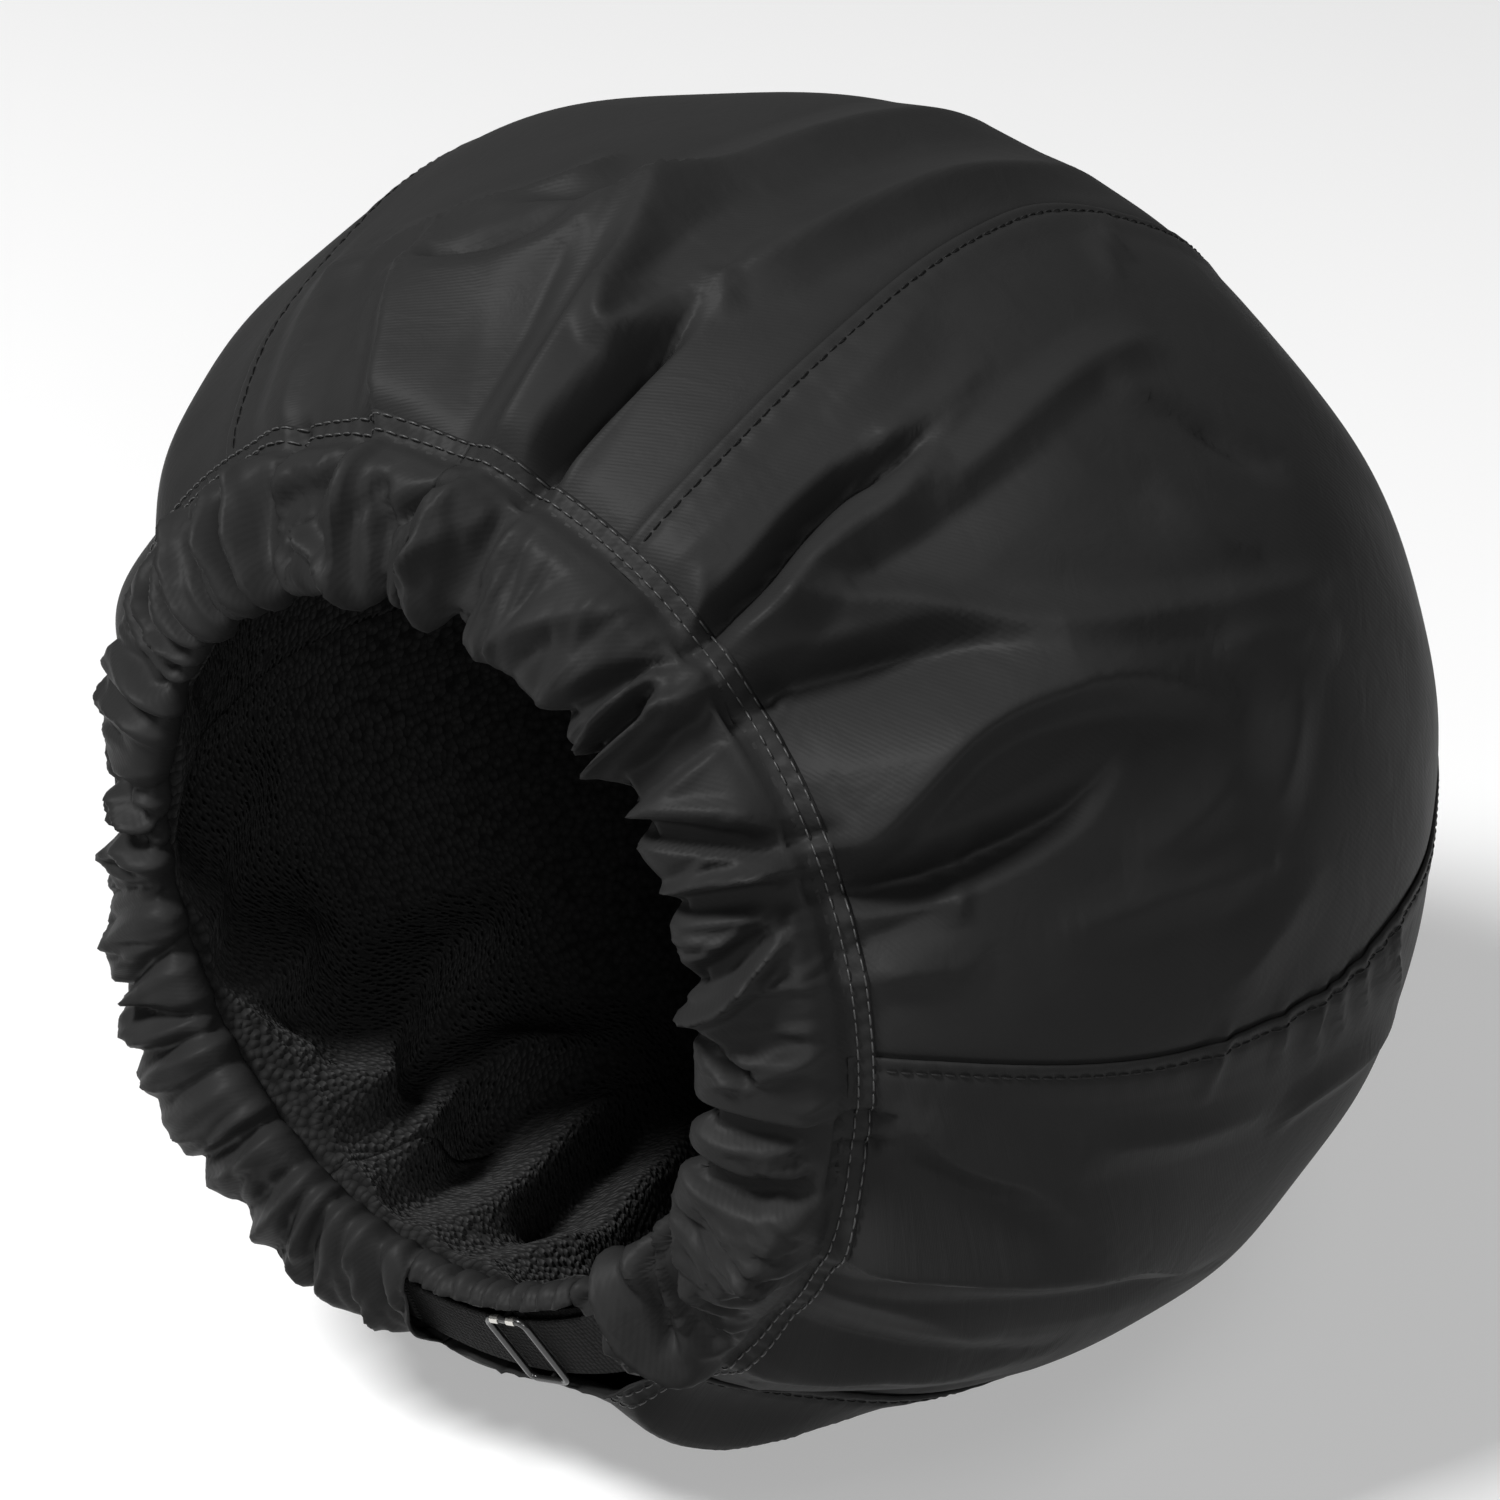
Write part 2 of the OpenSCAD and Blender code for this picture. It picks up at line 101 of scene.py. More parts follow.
# the tunnel's section: degrees it turns through, spacing in mm, steps its normals are rounded over
tunnelSection = {"turn": (14, 300, 0.5), "spacing": 0.25, "rounding": 29}


def bandSection():
    half = (cap["bandW"] - cap["tunnelFrom"]) / 2
    turn = np.radians(np.arange(*tunnelSection["turn"]))
    s = np.concatenate([[0], cap["tunnelFrom"] + half - half * np.cos(turn)])
    h = np.concatenate([[0], cap["tunnelH"] * np.sin(turn)])
    along = np.concatenate([[0], np.cumsum(np.hypot(np.diff(s), np.diff(h)))])
    lean = ringTurn - tilt
    normalS = np.concatenate([[-math.sin(lean)], -np.cos(turn) / half])
    normalH = np.concatenate([[math.cos(lean)], np.sin(turn) / cap["tunnelH"]])
    size = np.hypot(normalS, normalH)
    table = {"s": s, "h": h, "normalS": normalS / size, "normalH": normalH / size}
    even = np.arange(0, along[-1], tunnelSection["spacing"])
    section = {key: np.interp(even, along, value) for key, value in table.items()}
    for key in ("normalS", "normalH"):  # the cloth's thickness rounds the normals off
        section[key] = blurred(section[key], tunnelSection["rounding"])
    section["along"] = even
    section["rim"] = float(np.interp(math.pi, turn, along[1:]))
    return section


section = bandSection()
rimW = -section["rim"]


def bandPoint(phi, s, h):
    r = ringR - s * math.cos(tilt) + h * math.sin(tilt)
    y = ringY - s * math.sin(tilt) - h * math.cos(tilt)
    return around(phi, r, y)


def crownPoint(phi, w, h):
    t = ringTurn + w / cap["crownR"]
    r = cap["crownR"] + h
    return around(phi, r * np.sin(t), -r * np.cos(t))


def outsidePoint(phi, w, h):
    phi, w, h = np.broadcast_arrays(np.asarray(phi, float), w, h)
    down = -np.minimum(w, 0)
    look = {key: np.interp(down, section["along"], section[key])
            for key in ("s", "h", "normalS", "normalH")}
    band = bandPoint(phi, look["s"] + h * look["normalS"], look["h"] + h * look["normalH"])
    crown = crownPoint(phi, np.maximum(w, 0), h)
    points = np.where((w < 0)[..., None], band, crown)
    points[..., 2] = restOnFloor(points[..., 2])
    return points


def restOnFloor(z, softness=2.0):
    return softness * np.logaddexp(0, z / softness)


def ringRadius(w):
    up = cap["crownR"] * np.sin(ringTurn + np.maximum(w, 0) / cap["crownR"])
    down = ringR - np.minimum(-np.minimum(w, 0) / section["rim"], 1) * cap["bandW"] * math.cos(tilt)
    return np.where(w > 0, np.maximum(up, 1), down)


# a fold is a line of (phi, w, height) with a width in mm on its low-phi side and on its high-phi side

def smoothLine(points, step=2.0):
    points = np.array(points, float)
    ends = np.concatenate([2 * points[:1] - points[1:2], points, 2 * points[-1:] - points[-2:-1]])
    rows = []
    for i in range(len(points) - 1):
        a, b, c, d = ends[i:i + 4]
        count = max(2, int(np.hypot(c[0] - b[0], c[1] - b[1]) / step))
        t = np.linspace(0, 1, count, endpoint=False)[:, None]
        rows.append(0.5 * (2 * b + (c - a) * t + (2 * a - 5 * b + 4 * c - d) * t ** 2
                           + (3 * b - a - 3 * c + d) * t ** 3))
    rows.append(points[-1:])
    return np.concatenate(rows)


def foldHeight(folds, phi, w, sharpness=0.15, spread=2.4, power=1.4, endSlack=1.2, boxWidths=5):
    phi, w = np.broadcast_arrays(np.asarray(phi, float), np.asarray(w, float))
    total = np.zeros(phi.shape)
    radius = ringRadius(w)
    for low, high, points in folds:
        middle = sum(p[0] for p in points) / len(points)
        chart = np.array([(math.radians(at - middle) * float(ringRadius(np.array(up))), up, height)
                          for at, up, height in points])
        line = smoothLine(chart)
        x = np.radians(turnFrom(phi, middle)) * radius
        reach = boxWidths * max(low, high)
        near = ((x > line[:, 0].min() - reach) & (x < line[:, 0].max() + reach)
                & (w > line[:, 1].min() - reach) & (w < line[:, 1].max() + reach))
        if not near.any():
            continue
        px, py = x[near], w[near]
        along = np.gradient(line[:, :2], axis=0)
        along /= np.maximum(np.linalg.norm(along, axis=1, keepdims=True), 1e-9)
        chord = line[-1, :2] - line[0, :2]
        facing = 1 if chord[1] > 0 or (chord[1] == 0 and chord[0] < 0) else -1
        best = np.full(px.shape, np.inf)
        nearest = np.zeros(px.shape, int)
        for i, p in enumerate(line):
            d = (px - p[0]) ** 2 + (py - p[1]) ** 2
            closer = d < best
            best[closer] = d[closer]
            nearest[closer] = i
        dx, dy = px - line[nearest, 0], py - line[nearest, 1]
        side = facing * (dx * along[nearest, 1] - dy * along[nearest, 0])
        past = np.maximum(0, np.abs(dx * along[nearest, 0] + dy * along[nearest, 1]) - endSlack)
        width = np.where(side < 0, low, high)
        rounding = sharpness * width
        away = np.sqrt(side ** 2 + past ** 2 + rounding ** 2) - rounding
        total[near] += line[nearest, 2] * np.maximum(0, 1 - away / (spread * width)) ** power
    return total


# folds of the crown and the band, read off the photograph
shellFolds = {
    "deep": [
        (2, 2.2, [(80.5, -41, -4), (79.5, -32, -6), (78.4, -13, -6), (77.6, 0, -7), (77.9, 11, -11),
            (77.8, 24, -12), (77.7, 36, -11), (77.7, 47, -7.5), (78, 56, -3.5), (78.4, 66, -1),
            (79, 80, 0)]),
        (1.3, 2.0, [(58, -42, -3), (57, -36, -5), (54.5, -22, -6), (52.3, -6, -5), (51.6, 0.1, -5),
            (52.6, 8.7, -8.5), (53.5, 19.9, -10), (54.9, 32, -10), (55.6, 43.7, -9), (55.2, 53.6, -7),
            (55.3, 62.4, -4), (56, 73.1, -1.5), (56.5, 86, 0)]),
        (1.6, 4.5, [(27, -42, -3), (26, -36, -5), (24, -16, -6), (23, -3, -5), (21.5, 2.2, -5),
            (20.2, 11, -8.5), (19.8, 21.9, -9), (20.2, 32.6, -8.5), (20.7, 42.8, -7), (21.5, 52.5, -5),
            (22.9, 59.7, -3), (24.9, 66.6, -1), (27, 76, 0)]),
        (8, 3, [(44.2, 0, -4), (43.3, 9.5, -7), (41.5, 23.7, -8.5), (39.9, 35.4, -8), (38.2, 47.3, -5.5),
            (37, 55.2, -2.5), (36, 64, 0)]),
        (2.2, 5, [(89.1, 4.4, -1), (90.1, 19.1, -2.2), (90.8, 33.7, -2.5), (91.3, 47.7, -2), (91, 58, 0)]),
        (5, 4, [(82.5, 43.3, -0.5), (83.4, 53.7, -3.5), (83.7, 64.2, -3.5), (83.9, 75.2, -2),
            (83.5, 92, 0)]),
        (6, 4, [(114.9, 5.5, -1.5), (116.6, 23, -2.2), (117.8, 42.1, -2.2), (117.4, 54.8, -1.2),
            (116.5, 64, 0)]),
        (4, 2.5, [(-28.2, 5.6, -1), (-29, 21.3, -1.5), (-29.7, 42.4, -2), (-30.4, 63.3, -2),
            (-32, 84.8, -2), (-34, 107.7, -1), (-36, 125, 0)]),
        (5.5, 3.5, [(-35.8, 3.8, -2.2), (-37.1, 18.3, -3.2), (-37.7, 32.1, -3.2), (-38.3, 46.1, -2.5),
            (-39.7, 63.5, -1.5), (-40, 80, 0)]),
        (7, 7, [(-10.1, 2.7, -2.5), (-13.4, 16.4, -3), (-16.2, 31.7, -2.5), (-18, 46, 0)]),
        (6, 7, [(-58, -5, -2), (-57, 20, -3), (-53, 50, -3), (-48, 90, 0)]),
        (4.5, 4.5, [(48, 30, 0), (48.2, 43, -2.5), (48, 56.6, -3), (48.7, 71.4, -2), (49, 90, 0)]),
        (3, 3, [(15.7, 0.1, -1.5), (16.6, 12.3, -2), (18, 25, 0)]),
        (1.5, 2, [(92.5, 65, 0), (96.1, 58.1, -1.8), (99.4, 53.6, -2.2), (102.7, 50.1, -2.5),
            (105.5, 46.1, -2), (107, 44, 0)]),
    ],
    "crests": [
        (8.5, 3, [(84.8, -3, 2.5), (83.8, 3, 3.5), (83.5, 12.3, 4.5), (84.1, 25.4, 5), (84.8, 36.6, 5),
            (85.1, 46.2, 4.8), (85.8, 56.2, 4), (87, 66.6, 3), (88.7, 76, 1.5), (91, 90, 0)]),
        (5, 6, [(90.6, 67.2, 0.7), (89.2, 75.3, 2), (87.4, 83.7, 2.8), (86.4, 94.6, 3), (85.5, 108.2, 3),
            (85.1, 122.5, 2.6), (85.1, 143.9, 2), (85.6, 171.8, 1), (86.5, 200, 0)]),
        (2.5, 2.5, [(76.9, 59.1, 1.2), (77.7, 60.4, 2), (78, 53.1, 2.6), (78.5, 46.5, 3), (79.5, 40, 3.2),
            (81, 36.5, 3.4), (82.5, 39.1, 3), (83.7, 45.5, 2), (84.8, 55.1, 1), (86, 66, 0)]),
        (7, 2.5, [(110, 61, 0), (103.7, 61.9, 1.5), (97.5, 63.3, 2.2), (92.5, 65.3, 2.5), (90.3, 71.1, 2.2),
            (89.3, 82.2, 1.2), (89, 95, 0)]),
        (8, 4, [(106.8, 40.9, 0.8), (103.2, 38.4, 1.8), (98.8, 42.2, 2.5), (94.7, 48.8, 3),
            (91.4, 57.9, 2.8), (89.7, 70.1, 1.5)]),
        (2.5, 4, [(110, 62, 0), (104.6, 65.1, 1.5), (100.3, 71.3, 2), (97.9, 78.2, 2), (98, 90, 0)]),
        (8.5, 4, [(101.2, -3.4, 2.5), (100.8, 2.5, 4), (101.8, 11.5, 4.5), (103.6, 23.3, 4.5),
            (106, 35.7, 3.8), (108.1, 44.3, 2.8), (108.4, 52.1, 1.6), (109.5, 57.9, 1), (112, 62, 0)]),
        (1.5, 2, [(108.6, 18, 0), (108.9, 23.1, 0.8), (109.9, 31.6, 1), (110.5, 40.7, 0.8), (111, 49, 0)]),
        (3, 4, [(109.5, 55.1, 0.5), (110.2, 59.3, 1), (112.6, 58.7, 1.2), (116.1, 55.2, 1.2),
            (120, 51.1, 0.8), (123, 50, 0)]),
        (4, 6, [(117.5, -3, 1.2), (116.5, 3.6, 2), (117, 14.4, 2.4), (117.7, 25.4, 2.4), (119.1, 37.5, 2),
            (120.9, 48.7, 1.4), (123.3, 62.5, 0.6), (125, 80, 0)]),
        (4, 5, [(77.5, 62.7, 1.5), (76, 72.1, 3), (75.2, 85.8, 3.5), (74.7, 104.3, 3.5), (74.4, 123.3, 3),
            (74.1, 143.1, 2.2), (74.6, 171.6, 1), (75.3, 195, 0)]),
        (4, 2, [(49, -2, 2.5), (49.6, 9.6, 4), (50.1, 19.2, 4.5), (51.4, 28, 4), (52, 38.9, 3),
            (51.9, 48.8, 2.5), (52.6, 57.2, 1.5), (53.5, 66, 0)]),
        (2.4, 2.6, [(49.4, 21.7, 1.5), (46.8, 30.4, 2.2), (44.4, 39.7, 2.2), (41.4, 48, 2.2),
            (38.5, 56.4, 2.2), (36.5, 64.8, 2), (34.8, 75.7, 1.8), (33.5, 88.6, 1.5), (31.9, 106.6, 1.2),
            (30.4, 126.7, 0.8), (29, 150, 0)]),
        (3, 9, [(26.8, -3, 2), (26.9, 3.9, 3.5), (26.6, 11.5, 4.5), (28.2, 20, 5.5), (30.2, 29.3, 6.5),
            (31.6, 37.6, 7), (32.1, 47, 7), (31.8, 56.6, 6.5), (31.1, 66.5, 5.5), (29.7, 76.9, 4),
            (27.2, 88.2, 2), (23.5, 100, 0)]),
        (3.5, 9, [(-23.5, -4, 2), (-21.8, 3.2, 3.5), (-21.6, 11.9, 4.8), (-21.6, 23.6, 5.5),
            (-21.9, 36.3, 5.6), (-22.4, 49.3, 5.2), (-22.9, 60.3, 4.8), (-24.7, 75.9, 3.6),
            (-29.3, 94.3, 2.2), (-34.5, 112.3, 1), (-40, 132, 0)]),
        (3, 4, [(-28.9, -2.5, 0.8), (-29, 7.1, 1.3), (-29.7, 16.7, 1.5), (-30.8, 26.6, 1.3),
            (-32.4, 36.7, 1), (-34.9, 46, 0.6), (-39, 56, 0)]),
        (3.5, 9, [(-48.1, -3.7, 1.2), (-46.6, 3.9, 2), (-45.2, 11.1, 2.3), (-43.6, 22.4, 2.4),
            (-42.4, 33.3, 2.2), (-42.6, 43.9, 1.8), (-43.1, 55.2, 1.2), (-42.3, 68.5, 0.6), (-42, 85, 0)]),
        (1.5, 1.5, [(-49.5, 8, 0), (-51.3, 13, 0.5), (-54.5, 20, 0)]),
        (3, 5, [(-4.3, 7.9, 0.5), (-5.3, 14.4, 1.8), (-8.5, 21.4, 2.4), (-10.7, 30.4, 2.6),
            (-12.2, 39.2, 2.4), (-14.8, 48.7, 2), (-19.4, 59.8, 1), (-24, 70, 0)]),
        (3, 3, [(-9.8, 50, 0), (-10.1, 61, 1), (-11.1, 76.5, 1.2), (-11.8, 93.3, 1), (-13.5, 115, 0)]),
        (6, 6, [(-66, 0, 3), (-65, 25, 4), (-62, 60, 1.5), (-60, 80, 0)]),
        (3, 3, [(12, -3, 1.3), (12.4, 11.7, 1.8), (11, 30, 0)]),
        (6, 6, [(60, -3, 1.6), (59.8, 14.8, 1.3), (61, 35, 0)]),
        (1.4, 1.8, [(21.1, 29.9, 0.5), (18.7, 26, 1.2), (15, 24, 0)]),
        (1.5, 1.8, [(53.4, 1, 1), (55.3, 5.9, 1.2), (58, 13, 0)]),
        (3, 3.5, [(50, 58, 0), (50.7, 65.2, 1.3), (51.4, 76.6, 1.8), (52.4, 91, 2), (53.3, 105.5, 2),
            (53.5, 119.6, 1.6), (53.5, 138, 0)]),
        (2, 2.5, [(57, 53, 0), (56.6, 59.1, 1.5), (56, 66.8, 1.8), (56.4, 75.8, 1.5), (58, 90, 0)]),
    ],
    "dents": [
        (3.5, 3.5, [(12.3, 42, 0), (12.2, 54.3, 1.2), (12.1, 70.9, 1.4), (11.6, 86.8, 1.2), (11, 105, 0)]),
        (4, 4, [(15.5, 62, 0), (16.5, 74.1, 1.2), (18.2, 86.8, 1.3), (20.5, 98, 0)]),
        (4, 5, [(14.5, 98, 0), (17.3, 106.1, 1.5), (20.7, 112.9, 1.5), (25, 121, 0)]),
        (6, 6, [(27.5, 98, 0), (28.6, 107.8, 1.8), (27.2, 119.8, 1.5), (25.5, 140, 0)]),
        (5, 4, [(43, 102, 0), (39, 105.9, 1.8), (36, 112, 1.6), (33.5, 122, 0)]),
        (2.5, 3, [(49.5, 113, 0), (46.7, 122.4, -2), (43.6, 130.3, -2.4), (41.1, 136.5, -2),
            (38.5, 148, 0)]),
        (3, 3, [(52, 110, 0), (50.4, 114.9, 1.2), (46.9, 122.2, 1.5), (44, 131, 0)]),
        (5, 5, [(2, 80, 0), (3.5, 90.2, 1.5), (6.3, 102.7, 1), (9, 118, 0)]),
        (3, 3, [(-16, 108, 0), (-13.8, 115, 1.8), (-13.5, 129.2, 2), (-14.1, 147.5, 1.5), (-16, 170, 0)]),
        (1.5, 1.8, [(-8.5, 81.5, 0), (-4.5, 82.1, 1.2), (-2.7, 84.1, 0.8)]),
        (1.5, 1.8, [(-2.7, 101.8, 0.8), (-5.4, 102.5, 1.2), (-10, 106, 0)]),
        (1.5, 1.8, [(-3, 115.6, 1), (-6.1, 114.5, 1.5), (-11, 119.5, 0)]),
        (1.5, 1.8, [(-3.1, 122.3, 0.8), (-5.7, 123.1, 1.2), (-10, 129, 0)]),
        (1.5, 1.8, [(-3, 131.9, 0.8), (-5.1, 132.6, 1.2), (-9.5, 139, 0)]),
        (1.5, 1.8, [(-3.4, 140.5, 0.8), (-5.6, 142.3, 1.2), (-10, 150, 0)]),
        (2, 2.5, [(-3.3, 147.8, 1), (-5.5, 147.7, 2), (-10.6, 158.4, 0.5)]),
        (1.8, 2.2, [(61, 152, 0), (63.9, 153.3, 1.2), (68, 162, 0)]),
        (1.8, 2.2, [(58, 140, 0), (61.7, 143.6, 1), (66, 153, 0)]),
        (4, 4, [(62, 50, 0), (62.3, 64.2, 1.2), (63.7, 78.8, 1.4), (65.5, 95, 0)]),
    ],
    "pleats": [
        (3, 5, [(83, -5, 1.5), (84, -13, 3.2), (84.5, -24, 3.2), (84, -34, 2), (84, -42, 0)]),
        (2.5, 4, [(-62, -11, -3), (-59, -22, -6), (-54, -35, -7.5), (-52, -45, -3)]),
        (2.5, 3, [(-47, -2, 2.2), (-48.5, -20, 3.8), (-47, -37, 3)]),
        (3, 2.5, [(-51, -5, -3), (-51, -22, -6), (-49, -39, -4.5)]),
        (2, 3, [(-42, -9, -4.5), (-40, -17, -7.5), (-36, -27, -7.5), (-29, -36, -6), (-26, -45, -1.5)]),
        (1.5, 2, [(-45, -17, -3), (-41, -27, -5.2), (-35, -36, -4.5), (-33, -43, -1.5)]),
        (1.3, 1.8, [(-38, -22, 0), (-34, -28, -3.8), (-28, -34, -3.8), (-25, -41, -1.5)]),
        (7, 7, [(-30, -17, 3), (-24, -15, 4.5), (-19, -13, 2.2)]),
        (2, 3.5, [(-12, -3, -3), (-14, -11, -6.8), (-15.8, -20, -8.2), (-15.8, -33, -7.5), (-15, -43, -3)]),
        (2, 3, [(-8.5, 3, -2.2), (-9, -6, -4.5), (-10, -13, -1.5), (-10, -17, 0)]),
        (4, 1.5, [(-4, 2, -3), (-5, -9, -6.8), (-5.2, -22, -8.2), (-5, -35, -7.5), (-4.5, -45, -3)]),
        (1.5, 2, [(1, -20, 0), (3, -25, -3), (5.5, -32, -2.2), (6, -39, 0)]),
        (2, 3, [(6.5, -3, 0), (4.5, -11, 1.2), (2.5, -19, 1.2), (1, -23, 0)]),
        (2, 1.8, [(20, -10, 0), (18, -14, 3), (14.5, -20, 3.8), (11.5, -26, 3.8), (9.5, -33, 3),
            (9, -41, 0)]),
        (1.8, 3, [(20.5, -12, -1.5), (18, -19, -5.2), (15.5, -27, -5.2), (14, -35, -3), (13, -43, 0)]),
        (2, 1.5, [(25.5, -2, 1.5), (27, -11, 3.3), (28, -22, 3.3), (28, -33, 2.2), (28, -41, 0)]),
        (1.5, 3, [(28.3, 2, -3), (29.5, -9, -6.8), (33, -21, -7.5), (37, -33, -6.8), (39, -43, -3)]),
        (2, 2, [(32, -4, 0), (35, -13, 1.5), (39, -26, 1.5), (40, -35, 0)]),
        (2, 4.5, [(43, 4, -3), (43, -9, -6.8), (42.3, -20, -7.5), (41.8, -34, -6.8), (41.5, -43, -3)]),
        (1.3, 1.5, [(48.8, -12, 1.5), (48.3, -22, 3), (48, -33, 2.2), (48, -39, 0)]),
        (1.5, 1.3, [(52.3, -12, 1.5), (52.3, -20, 3), (51.8, -28, 2.2), (51, -37, 0)]),
        (1.5, 1.5, [(50.5, -14, -1.5), (50, -20, -5.2), (49.8, -28, -5.2), (49.5, -39, -1.5)]),
        (2, 2.5, [(47, -2, 1.5), (47.5, -9, 2.2), (48.5, -13, 1.5)]),
        (3, 5, [(59.5, -5, 0.8), (63, -14, 2), (68, -24, 2.2), (73, -34, 1.5), (75, -41, 0)]),
        (1.5, 1.5, [(76.5, -20, 0), (77, -26, -3), (77.5, -34, -3)]),
        (1.5, 2.5, [(83, -2, 0), (86, -8, -2.2), (90, -15, -3), (92.5, -20, -0.8)]),
        (2, 2, [(81.5, -14, 0.8), (84, -21, 2.2), (87.5, -28, 1.8), (89, -35, 0)]),
        (1.6, 2.2, [(94, -13, -1.5), (93, -20, -5.2), (92.5, -27, -5.2), (93, -35, -3), (94, -43, 0)]),
        (1.8, 4, [(101.5, 1, -3.8), (102, -6, -6), (104, -14, -7.5), (108, -21, -6), (110, -26, -3)]),
        (2, 2.5, [(97, -33, 1.5), (101, -28, 3), (105, -24, 3), (107.5, -20, 2.2)]),
        (3, 3, [(109, -14, -3), (112, -17, -6), (114, -22, -3)]),
        (1.8, 3, [(113.5, 0, -3.8), (115, -11, -5.2), (116, -22, -4.5), (115, -33, -3), (113, -41, 0)]),
        (3, 3, [(121, -9, 0), (122, -15, -2.2), (121, -22, 0)]),
        (3, 4, [(128, -13, 0), (130, -18, -3), (129, -24, 0)]),
        (2, 2.5, [(141, -6, -1.5), (143, -14, -4.5), (146, -20, -4.5), (144, -29, -4), (141, -37, -2)]),
        (1.8, 3, [(98.5, -2, 1.5), (98, -12, 3.4), (98.5, -24, 3.4), (98, -36, 1.5), (98, -43, 0)]),
        (2, 3, [(119, -2, 1), (119.5, -12, 2.6), (119, -24, 2.8), (118, -36, 1.5)]),
        (1.6, 2.5, [(126, -4, 0.8), (125.5, -14, 2.4), (125, -26, 2.4), (124, -36, 1)]),
        (1.8, 2.5, [(135, -3, 1), (134.5, -13, 2.6), (135, -25, 2.6), (134, -36, 1.2)]),
        (1.2, 1.6, [(122.5, -6, -2), (122.8, -16, -4.5), (122, -28, -4.5), (121, -38, -2)]),
        (1.2, 1.8, [(131, -5, -2), (131, -15, -4.5), (130.5, -27, -4.5), (129.5, -38, -2)]),
        (1.3, 2, [(138.5, -5, -2), (138.5, -16, -4.5), (139, -28, -4.5), (138, -38, -2)]),
        (1.2, 1.6, [(87, -18, 0), (87.5, -26, -4), (88, -34, -4), (88, -42, -1)]),
        (1.8, 2, [(149, -11, -4.5), (150, -22, -6), (147, -33, -6), (145, -41, -1.5)]),
    ],
    "far": [  # soft folds of the far side: angle, height in mm, half width in degrees
        (142, 4, 6), (152, -5, 5), (163, 4.5, 6), (176, -4.5, 5), (189, 4, 6), (200, -4.5, 5), (212, 4, 6),
        (226, -3.6, 6), (238, 3.6, 6), (252, -2.7, 6), (264, 2.7, 6), (278, -2.7, 6), (291, 3.2, 6),
    ],
    "farFrom": 3,  # mm above the band seam where they start
    "farPeak": 26,  # and how much further up they stand highest
}

# folds drawn at random, with a fixed seed: ranges in degrees round the opening and in mm
scatter = {
    "seed": 11,
    "farPleat": {"band": (153, 268), "lean": (-9, 9), "depth": (2, 4.5), "low": (1, 2), "high": (1.2, 2.6),
                 "top": (-8, 3), "apart": (4, 9)},
    "farCrest": {"after": (2, 3.5), "width": (1, 2), "stray": (-3, 3), "height": (0.8, 2)},
    "wrinkle": {"count": 380, "phi": (-60, 300), "w": (-30, -6), "long": (12, 26), "lean": (-2.5, 2.5),
                "height": (0.4, 1.3), "width": (0.6, 1.1)},
    "rimGather": {"lean": (-2, 2), "depth": (1.5, 3), "width": (0.7, 1.2), "apart": (2.2, 4)},
    "nearWindow": {"count": 34, "phi": (-57, -22), "w": (-30, -8), "long": (10, 24), "lean": (-3, 3),
                   "height": (0.8, 2), "width": (0.7, 1.3)},
}


def scatteredPleats():
    draw = random.Random(scatter["seed"])
    folds = []

    def pick(kind, key):
        return draw.uniform(*scatter[kind][key])

    def acrossBand(phi, w, long, lean, height):
        return [(phi - lean, w + long / 2, 0), (phi, w, height), (phi + lean, w - long / 2, 0)]

    # pleats of the far band, from the seam over its middle to inside the rim, each with a crest beside it
    phi, stop = scatter["farPleat"]["band"]
    while phi < stop:
        lean, depth = pick("farPleat", "lean"), pick("farPleat", "depth")
        folds.append((pick("farPleat", "low"), pick("farPleat", "high"), [
            (phi, pick("farPleat", "top"), -depth * 0.5), (phi + lean * 0.5, -18, -depth),
            (phi + lean, -34, -depth), (phi + lean * 1.1, -44, -depth * 0.4)]))
        crest = phi + pick("farCrest", "after")
        folds.append((pick("farCrest", "width"), pick("farCrest", "width"), [
            (crest + pick("farCrest", "stray"), -6, 0), (crest + lean * 0.5, -18, pick("farCrest", "height")),
            (crest + lean, -33, pick("farCrest", "height")), (crest, -42, 0)]))
        phi += pick("farPleat", "apart")
    # fine wrinkles all round the band
    for i in range(scatter["wrinkle"]["count"]):
        phi, w, long, lean = [pick("wrinkle", key) for key in ("phi", "w", "long", "lean")]
        height = pick("wrinkle", "height") * draw.choice((1, -1))
        low, high = pick("wrinkle", "width"), pick("wrinkle", "width")
        folds.append((low, high, acrossBand(phi, w, long, lean, height)))
    # the rim over the window is gathered close, and so is the casing beside it
    phi, stop = cap["windowFrom"], cap["windowTo"]
    while phi < stop:
        lean, depth = pick("rimGather", "lean"), pick("rimGather", "depth")
        folds.append((pick("rimGather", "width"), pick("rimGather", "width"), [
            (phi - lean, -28, 0), (phi, -33, -depth), (phi + lean, -39, -depth), (phi + lean, -45, 0)]))
        phi += pick("rimGather", "apart")
    for i in range(scatter["nearWindow"]["count"]):
        phi, w, long, lean = [pick("nearWindow", key) for key in ("phi", "w", "long", "lean")]
        low, high = pick("nearWindow", "width"), pick("nearWindow", "width")
        height = pick("nearWindow", "height") * draw.choice((1, -1))
        folds.append((low, high, acrossBand(phi, w, long, lean, height)))
    return folds


# how much each kind of fold is raised, and how much it is narrowed
foldGain = {"deep": (1.0, 1.0), "crests": (1.4, 1.0), "dents": (1.2, 1.0), "pleats": (1.5, 0.65)}
allFolds = [(low * narrow, high * narrow, [(phi, w, h * gain) for phi, w, h in line])
            for key, (gain, narrow) in foldGain.items() for low, high, line in shellFolds[key]]
allFolds += scatteredPleats()
print("folds:", len(allFolds))


